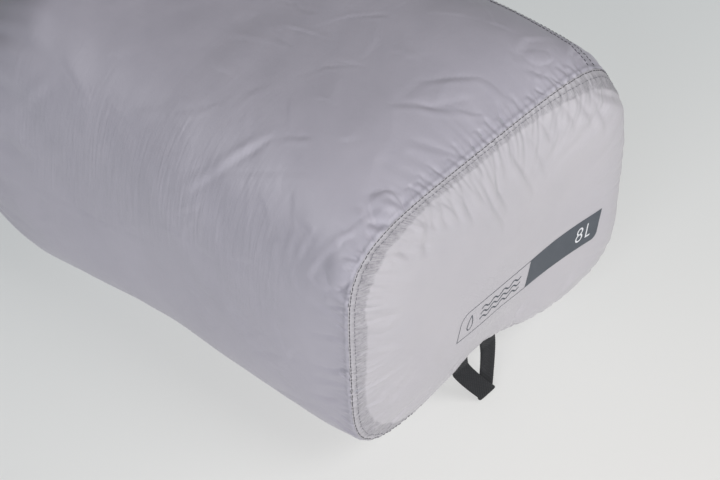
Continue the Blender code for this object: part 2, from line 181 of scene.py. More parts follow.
def relax_cloth(x, rest_around, rest_along, free, rounds, passes, pressure, bending):
    """Position-based cloth on a grid that closes on itself. Changes x in place."""
    count = x.shape[1]
    rest_cross = np.sqrt(rest_around[:-1] ** 2 + rest_along**2)
    rest_two = rest_around + np.roll(rest_around, -1, 1)
    rest_two_up = rest_along[:-1] + rest_along[1:]
    before = x.copy()
    ring = np.arange(count)
    for _ in range(rounds):
        normal = grid_normals(x)
        motion = (x - before) * 0.93
        before = x.copy()
        x += (motion + normal * pressure) * free[..., None]
        for _ in range(passes):
            for odd in (0, 1):
                i = ring[odd::2]
                j = (i + 1) % count
                a, b = x[:, i], x[:, j]
                pull_together(a, b, rest_around[:, i], free[:, i], free[:, j], 1.0)
                x[:, i], x[:, j] = a, b
            for odd in (0, 1):
                a, b = x[odd:-1:2], x[odd + 1 :: 2]
                pull_together(a, b, rest_along[odd::2], free[odd:-1:2], free[odd + 1 :: 2], 1.0)
            for turn in (1, -1):
                for odd in (0, 1):
                    shifted = np.roll(x, -turn, 1)
                    w = np.roll(free, -turn, 1)
                    a, b = x[odd:-1:2], shifted[odd + 1 :: 2]
                    rest = rest_cross[odd::2]
                    pull_together(a, b, rest, free[odd:-1:2], w[odd + 1 :: 2], 0.25)
                    x[odd + 1 :: 2] = np.roll(shifted, turn, 1)[odd + 1 :: 2]
            for odd in (0, 1):
                i = ring[(ring // 2) % 2 == odd]
                j = (i + 2) % count
                a, b = x[:, i], x[:, j]
                pull_together(a, b, rest_two[:, i], free[:, i], free[:, j], bending)
                x[:, i], x[:, j] = a, b
            for odd in range(3):
                a, b = x[odd:-2:3], x[odd + 2 :: 3]
                pull_together(a, b, rest_two_up[odd::3], free[odd:-2:3], free[odd + 2 :: 3], bending)
    return x


def simulate_ends():
    """Inflate the cloth on both sides of the bottom seam, with more cloth than the seam has room for."""
    body_s = steps(((40 * MM, 2.0 * MM), (SIM_REACH, 3.0 * MM)))
    cap_scales = 1 - steps(((0.3, 0.022), (1 - SIM_CAP_INNER, 0.03)))
    body = body_grid(body_s, SIM_AROUND)
    cap = cap_grid(cap_scales, SIM_AROUND)
    start = np.concatenate([cap[:0:-1], body])  # inner ring of the panel first, the seam once
    seam = len(cap) - 1
    rows, count = start.shape[:2]
    share = gather_share(body[0])
    around = np.linalg.norm(np.roll(start, -1, 1) - start, axis=2)
    along = np.linalg.norm(np.diff(start, axis=0), axis=2)
    fade = np.empty(rows)
    fade[seam:] = (1 - np.minimum(body_s / (100 * MM), 1.0)) ** 1.3
    fade[: seam + 1] = (((cap_scales - SIM_CAP_INNER) / (1 - SIM_CAP_INNER)) ** 1.1)[::-1]
    rest_around = around * (1 + share[None, :] * fade[:, None])
    rest_along = along * 1.004
    free = np.ones((rows, count))
    free[0] = free[-1] = free[seam] = 0.0
    free[1] = free[-2] = 0.3

    rng = np.random.default_rng(7)
    bump = np.zeros((rows, count))
    turn = 2 * math.pi * np.arange(count) / count
    for wave in range(7, 90):
        drift = rng.uniform(-0.06, 0.06)
        phase = rng.uniform(0, 6.3) + drift * np.arange(rows)
        bump += rng.normal() * np.sin(wave * turn[None, :] + phase[:, None]) / 9.0
    away = np.abs(np.arange(rows) - seam)
    bump *= (np.minimum(away / 2.0, 1.0) * np.exp(-away / 10.0))[:, None]
    x = start + grid_normals(start) * (bump * 0.5 * MM * free)[:, :, None]
    relax_cloth(x, rest_around, rest_along, free, SIM_ROUNDS, 6, 0.010 * MM, 0.06)
    moved = x - start
    return body_s, cap_scales, moved[seam:], moved[: seam + 1][::-1]


SIM_ROUNDS = 60


def upsample(values, from_rows, to_rows, to_count):
    """Catmull-Rom round each row, then Catmull-Rom between rows."""
    count = values.shape[1]
    where = np.arange(to_count) * count / to_count
    i = np.floor(where).astype(int)
    t = (where - i)[None, :, None]
    p0, p1, p2, p3 = (values[:, (i + k) % count] for k in (-1, 0, 1, 2))
    dense = 0.5 * (
        2 * p1 + (p2 - p0) * t + (2 * p0 - 5 * p1 + 4 * p2 - p3) * t**2 + (3 * p1 - p0 - 3 * p2 + p3) * t**3
    )
    order = np.argsort(from_rows)
    rows = np.asarray(from_rows)[order]
    dense = dense[order]
    at = np.clip(np.interp(to_rows, rows, np.arange(len(rows))), 0, len(rows) - 1)
    j = np.minimum(np.floor(at).astype(int), len(rows) - 2)
    u = (at - j)[:, None, None]
    a, b, c, d = (dense[np.clip(j + k, 0, len(rows) - 1)] for k in (-1, 0, 1, 2))
    out = 0.5 * (2 * b + (c - a) * u + (2 * a - 5 * b + 4 * c - d) * u**2 + (3 * b - a - 3 * c + d) * u**3)
    outside = (np.asarray(to_rows) < rows[0]) | (np.asarray(to_rows) > rows[-1])
    out[outside] = 0.0
    return out

# ---------------------------------------------------------------- meshes


def make_mesh(name, points, faces, uv=None, colours=None, normals=None):
    """A smooth mesh object from arrays. faces is a list of arrays of one corner count each, and uv
    has a pair for each of their corners; colours holds one value per point."""
    mesh = bpy.data.meshes.new(name)
    points = np.asarray(points, float).reshape(-1, 3)
    corners = np.concatenate([np.asarray(group).ravel() for group in faces])
    sides = np.concatenate([np.full(len(group), np.asarray(group).shape[1]) for group in faces])
    mesh.vertices.add(len(points))
    mesh.vertices.foreach_set("co", points.ravel().astype(np.float32))
    mesh.loops.add(len(corners))
    mesh.loops.foreach_set("vertex_index", corners.astype(np.int32))
    mesh.polygons.add(len(sides))
    mesh.polygons.foreach_set("loop_start", (np.cumsum(sides) - sides).astype(np.int32))
    mesh.update(calc_edges=True)
    mesh.polygons.foreach_set("use_smooth", np.ones(len(sides), bool))
    if uv is not None:
        layer = mesh.uv_layers.new(name="UVMap")
        pairs = np.concatenate([np.asarray(group, np.float32).reshape(-1, 2) for group in uv])
        layer.data.foreach_set("uv", pairs.ravel())
    for key, values in (colours or {}).items():
        attribute = mesh.attributes.new(key, "FLOAT", "POINT")
        attribute.data.foreach_set("value", np.asarray(values, np.float32).ravel())
    if normals is not None:
        mesh.normals_split_custom_set_from_vertices(np.asarray(normals).reshape(-1, 3).tolist())
    obj = bpy.data.objects.new(name, mesh)
    bpy.context.scene.collection.objects.link(obj)
    return obj


def grid_quads(rows, count, closed=True, flip=False):
    index = np.arange(rows * count).reshape(rows, count)
    nxt = np.roll(index, -1, 1)
    last = count if closed else count - 1
    quads = np.stack([index[:-1], nxt[:-1], nxt[1:], index[1:]], 2)[:, :last].reshape(-1, 4)
    return quads[:, ::-1] if flip else quads


def grid_uv(u, v, rows, count, closed=True, flip=False):
    """Corner uv for grid_quads. u has count + 1 values when closed, v has one per row."""
    last = count if closed else count - 1
    i = np.arange(last)
    out = np.empty((rows - 1, last, 4, 2))
    for corner, (di, dj) in enumerate(((0, 0), (1, 0), (1, 1), (0, 1))):
        out[:, :, corner, 0] = u[i + di][None, :]
        out[:, :, corner, 1] = v[np.arange(rows - 1) + dj][:, None]
    out = out.reshape(-1, 4, 2)
    return out[:, ::-1] if flip else out


# ---------------------------------------------------------------- the ring of the rolled mouth

RING_A = 75.0 * MM
RING_B = 46.0 * MM
ROLL_Y = 175.4 * MM
RING_Y = ROLL_Y + RING_B
RING_Z = 85.0 * MM
ROLL_HALF_W = 12.5 * MM
ROLL_HALF_T = 4.5 * MM
CENTRE_HALF = 50.0 * MM
ROLL_HALF_LENGTH = 155.0 * MM
EAR_LENGTH = 112.0 * MM


def ring_table():
    angle = np.linspace(0, math.pi, 4001)
    speed = np.hypot(RING_A * np.cos(angle), RING_B * np.sin(angle))
    length = np.concatenate([[0], np.cumsum((speed[1:] + speed[:-1]) / 2 * np.diff(angle))])
    return angle, length


RING_ANGLE, RING_LENGTH = ring_table()


def ring_at(length):
    """Points, directions of travel and outward normals at arc lengths from the roll's middle."""
    length = np.asarray(length, float)
    angle = np.sign(length) * np.interp(np.abs(length), RING_LENGTH, RING_ANGLE)
    point = np.stack([RING_A * np.sin(angle), RING_Y - RING_B * np.cos(angle), RING_Z + 0 * angle], -1)
    travel = np.stack([RING_A * np.cos(angle), RING_B * np.sin(angle), 0 * angle], -1)
    travel /= np.linalg.norm(travel, axis=-1, keepdims=True)
    outward = np.stack([travel[..., 1], -travel[..., 0], 0 * angle], -1)
    return point, travel, outward


def roof_grid(shares, count):
    """From the full belly section to the lower edge of the roll, which is bent into a ring."""
    shares = np.asarray(shares)
    start = body_grid([BODY_END], count)[0]
    turn = np.arange(count) / count
    along = np.where(turn <= 0.5, 1 - 4 * turn, -1 + 4 * (turn - 0.5))
    # the mouth's top and bottom layers meet the roll side by side
    point, _, outward = ring_at(along * EAR_LENGTH)
    thin = 2.2 * MM * np.sign(np.sin(2 * math.pi * turn)) * np.abs(np.sin(2 * math.pi * turn)) ** 0.5
    end = point + outward * (ROLL_HALF_T - 1.0 * MM)
    end[:, 2] += thin
    leave = np.zeros_like(start)
    leave[:, 1] = 150.0 * MM
    arrive = -outward * 85.0 * MM
    t = shares[:, None, None]
    h00 = 2 * t**3 - 3 * t**2 + 1
    h10 = t**3 - 2 * t**2 + t
    h01 = -2 * t**3 + 3 * t**2
    h11 = t**3 - t**2
    return h00 * start + h10 * leave + h01 * end + h11 * arrive


# ---------------------------------------------------------------- folds and creases


def dense_rows():
    body_s = steps(((13 * MM, 0.62 * MM), (110 * MM, 1.55 * MM), (BODY_END, 3.6 * MM)))
    roof = np.linspace(0, 1, 53)[1:]
    cap_d = steps(((13 * MM, 0.6 * MM), (42 * MM, 1.2 * MM), (BASE_HALF[1] * 0.97, 2.2 * MM)))
    return body_s, roof, cap_d


def rim_lengths(rim):
    """Distance travelled round the seam at each point, and the whole way round."""
    step = np.linalg.norm(np.roll(rim, -1, 0) - rim, axis=1)
    return np.concatenate([[0.0], np.cumsum(step)[:-1]]), step.sum()


def waves(rng, turn, low, high, count):
    """A random line round the seam, made of count waves with low to high periods each way round."""
    out = 0 * turn
    for _ in range(count):
        out = out + rng.normal() * np.sin(rng.integers(low, high) * turn + rng.uniform(0, 2 * math.pi))
    return out / math.sqrt(count / 2)


def puckers(rng, length, total, away, pitch, reach, width, slant, height, spread=None):
    """Short slanted ridges that start at the seam, away being the distance from it. spread says how
    much shorter each row is than the seam, as its points lie closer together."""
    out = np.zeros((len(away), len(length)))
    at = 0.0
    while at < total:
        near = rng.uniform(-0.5, 1.2) * MM
        far = near + rng.uniform(*reach)
        lean = rng.uniform(*slant)
        half = rng.uniform(*width)
        lift = rng.uniform(*height) * (1 if rng.uniform() < 0.8 else -0.6)
        rows = np.flatnonzero((away > near) & (away < far))
        if len(rows):
            share = ((away[rows] - near) / (far - near))[:, None]
            across = length[None, :] - at - lean * (away[rows][:, None] - near)
            across = (across + total / 2) % total - total / 2
            half_here = half * (0.75 + 0.6 * share)
            if spread is not None:
                half_here = half_here / spread[rows][:, None] ** 1.5
            sharp = np.exp(-(np.abs(across / half_here) ** 1.3))
            beside = np.exp(-((across / half_here - 1.9) ** 2))
            shape = 0.55 * beside - sharp
            out[rows] += lift * shape * np.sin(math.pi * share**0.7) ** 0.8
        at += rng.uniform(*pitch)
    return out


def valley(a, b, points, width, depth):
    """A sharp crease along a chain of points, with a rounded fold on one side. It fades at its ends."""
    nearest = np.full(a.shape, 1e9)
    place = np.zeros(a.shape)
    side = np.zeros(a.shape)
    lengths = [math.dist(p, q) for p, q in zip(points, points[1:])]
    travelled = 0.0
    for (p, q), run in zip(zip(points, points[1:]), lengths):
        da = (q[0] - p[0]) / run
        db = (q[1] - p[1]) / run
        t = np.clip((a - p[0]) * da + (b - p[1]) * db, 0, run)
        gap = np.hypot(a - p[0] - t * da, b - p[1] - t * db)
        closer = gap < nearest
        nearest = np.where(closer, gap, nearest)
        side = np.where(closer, (a - p[0]) * db - (b - p[1]) * da, side)
        place = np.where(closer, (travelled + t) / sum(lengths), place)
        travelled += run
    uneven = 0.78 + 0.22 * np.sin(10 * place + 90 * sum(lengths))
    fade = np.sin(math.pi * np.clip(place, 0, 1)) ** 0.6 * uneven
    dip = np.exp(-((nearest / width) ** 1.35))
    leaning = 0.5 + 0.5 * np.tanh(side / width)
    shoulder = np.exp(-(((nearest - 2.1 * width) / (1.5 * width)) ** 2)) * leaning
    far_fall = np.exp(-nearest / (6 * width)) * (1 - leaning)
    return depth * fade * (0.75 * shoulder - 0.75 * dip - 0.3 * far_fall)


def patch_waves(rng, a, b, size, count):
    """Soft random unevenness over a surface, with features about size across."""
    out = 0 * a
    for _ in range(count):
        heading = rng.uniform(0, 2 * math.pi)
        wave = 2 * math.pi / (size * rng.uniform(0.7, 1.6))
        out = out + np.sin(wave * (a * math.cos(heading) + b * math.sin(heading)) + rng.uniform(0, 6.3))
    return out / math.sqrt(count / 2)


def faint_creases(rng, a, b, count=420):
    """Short fine creases of handled cloth, all over the body."""
    out = np.zeros(a.shape)
    for _ in range(count):
        p = np.array([rng.uniform(-250, 250), rng.uniform(18, 225)]) * MM
        heading = rng.uniform(0, 2 * math.pi)
        run = rng.uniform(9, 34) * MM
        bend = rng.uniform(-0.5, 0.5)
        chain = [p]
        for part in (0.5, 0.5):
            chain.append(chain[-1] + part * run * np.array([math.cos(heading), math.sin(heading)]))
            heading += bend
        near = (np.abs(a - p[0]) < run + 12 * MM) & (np.abs(b - p[1]) < run + 12 * MM)
        if near.any():
            depth = rng.uniform(0.06, 0.22) * MM
            width = rng.uniform(0.8, 1.5) * MM
            points = [tuple(c) for c in chain]
            out[near] += valley(a[near], b[near], points, width, depth)
    return out


# The places in CREASES, TUCKS and PANEL_FOLDS are measured ones: nothing here works them out.
# Most were turned into millimetres by a separate program.
# Creases of the body: chain of (across from the top's middle, distance from the seam), width, depth
CREASES = (
    (((-1, 43), (5, 38), (13, 32), (21, 25), (23, 19), (23, 10)), 2.0, 0.60),
    (((-18, 42), (-9, 34), (-5, 26), (1, 20), (7, 14)), 2.0, 0.60),
    (((-35, 25), (-26, 34), (-18, 42)), 1.8, 0.20),
    (((-62, 14), (-55, 16), (-50, 13), (-45, 6)), 1.9, 0.60),
    (((-60, 14), (-64, 7), (-63, 0)), 1.9, 1.00),
    (((45, 12), (44, 17), (47, 22), (54, 22)), 1.8, 0.30),
    (((57, 18), (55, 12), (48, 10)), 1.8, 0.35),
    (((67, 20), (53, 26), (43, 22), (41, 30)), 2.2, 0.45),
    (((41, 15), (45, 8)), 2.0, 0.60),
    (((76, 18), (66, 9), (64, 0)), 2.0, 0.70),
    (((-98, 13), (-97, 6), (-97, -3)), 2.0, 0.90),
    (((-79, 13), (-87, 17), (-95, 20), (-98, 13)), 2.0, 0.55),
    (((-72, 8), (-76, 12), (-80, 12)), 1.8, 0.50),
    (((-77, 25), (-86, 27), (-95, 29)), 1.9, 0.40),
    (((-81, 32), (-89, 33), (-96, 33)), 1.9, 0.35),
    (((-86, 39), (-92, 41), (-99, 41)), 2.0, 0.25),
    (((-54, 67), (-67, 76), (-79, 84), (-94, 97)), 2.4, 0.85),
    (((-54, 66), (-48, 54)), 1.8, 0.45),
    (((-92, 118), (-83, 96), (-73, 71), (-55, 32)), 2.0, 0.16),
    (((-79, 190), (-89, 197), (-100, 206), (-112, 216)), 2.6, 0.65),
    (((-112, 216), (-118, 211), (-119, 201)), 2.2, 0.40),
    (((-140, 216), (-137, 184), (-135, 152), (-129, 112)), 2.2, 0.22),
    (((-106, 76), (-110, 64), (-115, 52)), 2.2, 0.25),
    (((-96, 170), (-106, 174), (-115, 176)), 2.2, 0.22),
    (((-86, 147), (-101, 155), (-117, 162)), 2.2, 0.25),
    (((-94, 134), (-110, 141), (-128, 144)), 2.2, 0.22),
    (((-84, 110), (-98, 114), (-109, 107)), 2.2, 0.22),
    (((-43, 128), (-60, 130), (-77, 131)), 2.2, 0.16),
    (((-124, 20), (-121, 9), (-120, -1)), 2.2, 0.75),
    (((-143, 20), (-141, 9), (-137, 0)), 2.2, 0.75),
    (((-163, 26), (-160, 12), (-156, 0)), 2.4, 0.70),
    (((-158, 62), (-150, 46), (-144, 28)), 3.2, 0.35),
    (((-186, 60), (-176, 42), (-170, 20)), 3.2, 0.60),
    (((150, 64), (142, 44), (139, 18)), 3.0, 0.65),
    (((118, 30), (122, 16), (128, 2)), 2.2, 0.80),
    (((96, 92), (116, 84), (133, 66)), 3.0, 0.55),
    (((92, 150), (112, 158), (136, 150)), 3.2, 0.45),
    (((176, 40), (182, 22), (186, 3)), 2.4, 0.70),
    (((222, 58), (232, 36), (238, 10)), 3.0, 0.60),
)
# Short tucks that the top seam draws into the body: where they are across it
TUCKS = (-40, -36, -33, -27, -17.5, -12, 1, 8, 13.5, 25.5, 33, 38, 47, 56, 61)
# Folds of the bottom panel: chain of (x, z), width, depth
PANEL_FOLDS = (
    (((0, 152), (-1, 144), (-2, 136), (3, 122)), 2.1, 0.75),
    (((11, 153), (12, 144), (17, 132), (23, 118)), 1.9, 0.65),
    (((24, 148), (28, 134), (32, 122)), 1.7, 0.40),
    (((32, 154), (34, 145), (37, 137)), 1.7, 0.45),
    (((-11, 153), (-10, 143), (-7, 130), (0, 114)), 1.9, 0.60),
    (((-17, 154), (-14, 143), (-11, 131)), 1.8, 0.50),
    (((-23, 152), (-23, 142), (-21, 130)), 1.9, 0.60),
    (((-30, 153), (-30, 143), (-28, 134)), 1.8, 0.50),
    (((-36, 152), (-37, 144), (-36, 137)), 1.7, 0.45),
    (((-42, 153), (-43, 145), (-44, 139)), 1.7, 0.50),
    (((-46, 155), (-46, 147), (-47, 141)), 1.7, 0.50),
    (((-50, 154), (-49, 147), (-48, 141)), 1.7, 0.45),
    (((-46, 146), (-50, 139), (-53, 130)), 1.9, 0.65),
    (((-61, 148), (-55, 141), (-50, 137)), 1.8, 0.50),
    (((-67, 150), (-64, 141), (-60, 132)), 1.8, 0.40),
    (((63, 148), (65, 138), (66, 126)), 1.9, 0.60),
    (((55, 153), (57, 144), (61, 133)), 1.9, 0.50),
    (((47, 154), (48, 146), (50, 138)), 1.7, 0.35),
    (((62, 153), (70, 145), (84, 133), (94, 124)), 2.4, 0.90),
    (((72, 149), (82, 141), (92, 132)), 2.2, 0.70),
    (((-82, 68), (-76, 58), (-67, 48)), 2.4, 0.55),
    (((-84, 96), (-76, 93), (-67, 88)), 2.0, 0.35),
    (((-83, 125), (-74, 118)), 1.9, 0.40),
    (((-81, 144), (-71, 141), (-64, 134)), 1.9, 0.50),
    (((-86, 110), (-78, 108), (-70, 110)), 1.8, 0.30),
    (((-40, 30), (-34, 40), (-24, 48)), 2.2, 0.45),
    (((16, 30), (14, 40), (20, 50)), 2.2, 0.45),
    (((46, 28), (44, 38), (50, 47)), 2.2, 0.45),
    (((84, 70), (76, 76), (72, 84)), 2.2, 0.35),
)
# Puffs of loose cloth near the seam: middle, half sizes, lean and height
BUBBLES = (
    ((-54, 7), (8.5, 6.5), 0.15, 1.1),
    ((-87, 8), (9.0, 6.5), 0.10, 1.0),
    ((3, 30), (17, 6.5), -0.75, 0.45),
    ((50, 17), (6.5, 5.0), -0.4, 0.3),
    ((92, 9), (10, 5.0), -0.4, 0.7),
    ((128, 12), (9, 6.0), 0.3, 0.8),
)
SIM_BODY_GAIN = 0.22
SIM_CAP_GAIN = 0.25
FAR_BULGE = 10.0 * MM  # the bottom panel swells past its seam on the +X side
LOW_BULGE = 9.0 * MM  # the belly swells low down on the -X side, towards the mouth
SIDE_SEAM_ELEVATION = math.radians(40.5)


def side_seam_column(body, body_s):
    """The column of the body grid that the side seam follows, on the +X shoulder."""
    ring = body[int(np.searchsorted(body_s, BELLY_AT))]
    angle = np.arctan2(ring[:, 2] - BELLY_MID_Z, ring[:, 0])
    return int(np.argmin(np.abs(angle - SIDE_SEAM_ELEVATION)))


def side_seam_gap(body, body_s):
    """How far each point of the body is from the side seam, along its row."""
    column = side_seam_column(body, body_s)
    return np.linalg.norm(body - body[:, column : column + 1], axis=2)


def sack_surface():
    """The sack's outer surface with every fold: its body, its bottom panel and what their rows mean."""
    rng = np.random.default_rng(21)
    body_s, roof, cap_d = dense_rows()
    body = np.concatenate([body_grid(body_s, AROUND), roof_grid(roof, AROUND)])
    reach = np.concatenate([body_s, BODY_END + roof * 108 * MM])
    cap_k = 1 - cap_d / BASE_HALF[1]
    cap = cap_grid(cap_k, AROUND)
    turn = 2 * math.pi * np.arange(AROUND) / AROUND
    length, total = rim_lengths(body[0])
    across = (0.25 - np.arange(AROUND) / AROUND) * 545 * MM
    across = np.where(across < -272 * MM, across + 545 * MM, across)

    body_n = grid_normals(body)
    cap_n = grid_normals(cap)
    cap_n = np.where((cap_n[:, :, 1:2] > 0.6), -cap_n, cap_n)
    body_lift = np.zeros(body.shape[:2])
    cap_lift = np.zeros(cap.shape[:2])

    # fine gathers held by the two rows of stitches, the same line on both sides of the seam
    gathers = waves(rng, turn, 70, 190, 26) * (0.8 + 0.5 * waves(rng, turn, 3, 14, 6))
    body_lift += 0.16 * MM * gathers * np.exp(-reach[:, None] / (4.5 * MM))
    cap_lift += 0.17 * MM * gathers * np.exp(-((cap_d[:, None] / (9 * MM)) ** 1.6))

    body_lift += puckers(
        rng, length, total, reach, (3.5 * MM, 12 * MM), (4 * MM, 11 * MM), (0.7 * MM, 1.2 * MM), (-0.8, 0.4),
        (0.3 * MM, 0.65 * MM),
    )
    body_lift += puckers(
        rng, length, total, reach, (22 * MM, 50 * MM), (14 * MM, 30 * MM), (1.4 * MM, 2.4 * MM), (-1.0, 0.6),
        (0.3 * MM, 0.6 * MM),
    )
    cap_lift += puckers(
        rng, length, total, cap_d, (3.0 * MM, 7 * MM), (6 * MM, 14 * MM), (0.7 * MM, 1.2 * MM), (-0.4, 0.4),
        (0.22 * MM, 0.48 * MM), cap_k,
    )
    cap_lift += puckers(
        rng, length, total, cap_d, (9 * MM, 20 * MM), (14 * MM, 30 * MM), (1.0 * MM, 1.8 * MM), (-0.5, 0.15),
        (0.25 * MM, 0.5 * MM), cap_k,
    )

    a = np.repeat(across[None, :], len(reach), 0)
    b = np.repeat(reach[:, None], AROUND, 1)
    for points, width, depth in CREASES:
        chain = [(p * MM, q * MM) for p, q in points]
        body_lift += valley(a, b, chain, 0.66 * width * MM, 0.85 * depth * MM)
    for place in TUCKS:
        depth = rng.uniform(0.4, 0.75) * MM
        end = place + rng.uniform(-2.0, 0.8)
        chain = [(end * MM, rng.uniform(5.5, 9.0) * MM), (place * MM, 2.5 * MM), (place * MM, -3.0 * MM)]
        body_lift += valley(a, b, chain, 0.95 * MM, depth)
    for middle, size, lean, height in BUBBLES:
        da = (a - middle[0] * MM) * math.cos(lean) + (b - middle[1] * MM) * math.sin(lean)
        db = -(a - middle[0] * MM) * math.sin(lean) + (b - middle[1] * MM) * math.cos(lean)
        r = np.hypot(da / (size[0] * MM), db / (size[1] * MM))
        toward = np.arctan2(db / size[1], da / size[0])
        r = r * (1 + 0.16 * np.sin(2 * toward + middle[0]) + 0.09 * np.sin(3 * toward + middle[1]))
        dome = np.clip(1 - r**2, 0, 1) ** 1.15
        moat = np.exp(-(((r - 1.0) / 0.17) ** 2)) * (0.5 + 0.5 * np.cos(toward + 2.4)) ** 1.5
        body_lift += height * MM * (dome - 0.55 * moat)
    body_lift += 0.38 * MM * np.exp(-(((reach[:, None] - 1.3 * MM) / (0.9 * MM)) ** 2))
    body_lift += faint_creases(rng, a, b)
    seam_gap = side_seam_gap(body, body_s)
    body_lift += 0.35 * MM * np.exp(-((seam_gap / (3.0 * MM)) ** 6)) * smooth(2 * MM, 10 * MM, b)
    pleats = waves(rng, reach * 2 * math.pi / (60 * MM), 6, 20, 8)[:, None]
    body_lift += 0.16 * MM * pleats * np.exp(-((seam_gap / (5.0 * MM)) ** 2))
    shoulder = np.exp(-(((a - 104 * MM) / (36 * MM)) ** 2))
    body_lift += 3.4 * MM * shoulder * smooth(0, 16 * MM, b) * (1 - smooth(45 * MM, 120 * MM, b))
    away = smooth(8 * MM, 60 * MM, reach)[:, None]
    broad = patch_waves(rng, body[:, :, 0], body[:, :, 1] + body[:, :, 2], 85 * MM, 9)
    body_lift += 0.30 * MM * broad * away
    fine = patch_waves(rng, body[:, :, 0], body[:, :, 1] - body[:, :, 2], 28 * MM, 12)
    body_lift += 0.10 * MM * fine * away
    x, z = cap[:, :, 0], cap[:, :, 2]
    for points, width, depth in PANEL_FOLDS:
        chain = [(p * MM, q * MM) for p, q in points]
        cap_lift += valley(x, z, chain, 0.85 * width * MM, 1.45 * depth * MM)
    inner = smooth(4 * MM, 30 * MM, cap_d)[:, None]
    cap_lift += 0.45 * MM * patch_waves(rng, x, z, 60 * MM, 8) * inner
    cap_lift += 0.12 * MM * patch_waves(rng, x, z, 22 * MM, 12) * inner

    # the roof is slack: broad folds run from the belly to the roll
    slack = smooth(BODY_END - 25 * MM, BODY_END + 40 * MM, reach)[:, None]
    roof_line = waves(rng, turn, 7, 34, 12)[None, :] * 0.9 + waves(rng, turn, 20, 60, 10)[None, :] * 0.35
    twist = waves(rng, turn, 3, 9, 5)[None, :] * np.sin(reach[:, None] / (30 * MM))
    end_fade = 1 - 0.75 * smooth(BODY_END + 75 * MM, BODY_END + 108 * MM, reach)[:, None]
    body_lift += (1.15 * MM * roof_line + 0.5 * MM * twist) * slack * end_fade

    sim_s, sim_k, sim_body, sim_cap = simulate_ends()
    body += SIM_BODY_GAIN * upsample(sim_body, sim_s, reach, AROUND)
    calm = 1 - 0.8 * (1 - smooth(70 * MM, 105 * MM, z)) * smooth(-75 * MM, -35 * MM, x)
    calm *= (1 - smooth(10 * MM, 38 * MM, cap_d))[:, None]
    cap += SIM_CAP_GAIN * calm[:, :, None] * upsample(sim_cap, sim_k, cap_k, AROUND)
    printed_area = smooth(-48 * MM, -34 * MM, x) * (1 - smooth(78 * MM, 92 * MM, z))
    printed_area = printed_area * smooth(48 * MM, 58 * MM, z)
    cap_lift *= 1 - 0.85 * printed_area
    body += body_n * body_lift[:, :, None]
    cap += cap_n * cap_lift[:, :, None]

    # broad swellings: past the seam on +X, and low on -X
    d = cap_d[:, None]
    swell = (d / (15 * MM)) * np.exp(1 - d / (15 * MM))
    far = smooth(20 * MM, 84 * MM, x) * (1 - 0.15 * smooth(120 * MM, 150 * MM, z))
    under = 0.55 * (1 - smooth(20 * MM, 52 * MM, z)) * smooth(-20 * MM, 30 * MM, x) * (1 - far)
    cap[:, :, 1] -= FAR_BULGE * (far + under) * swell
    cap[:, :, 0] += 0.5 * FAR_BULGE * far * swell
    cap[:, :, 2] -= 0.45 * FAR_BULGE * under * swell
    low = smooth(-20 * MM, -70 * MM, body[:, :, 0]) * smooth(125 * MM, 60 * MM, body[:, :, 2])
    ahead = smooth(110 * MM, 225 * MM, reach) * (1 - smooth(BODY_END + 8 * MM, BODY_END + 80 * MM, reach))
    body[:, :, 0] -= LOW_BULGE * low * ahead[:, None]
    body[:, :, 2] = np.maximum(body[:, :, 2], 0.15 * MM)
    return dict(
        seam_gap=seam_gap,
        body=body,
        cap=cap,
        reach=reach,
        cap_d=cap_d,
        cap_k=cap_k,
        length=length,
        total=total,
        across=across,
        turn=turn,
        body_s=body_s,
        rng=rng,
    )


# ---------------------------------------------------------------- sack pieces


def closed_uv_columns(length, total):
    """The texture's place at each column, with one more column that closes the way round."""
    return np.concatenate([length, [total]])


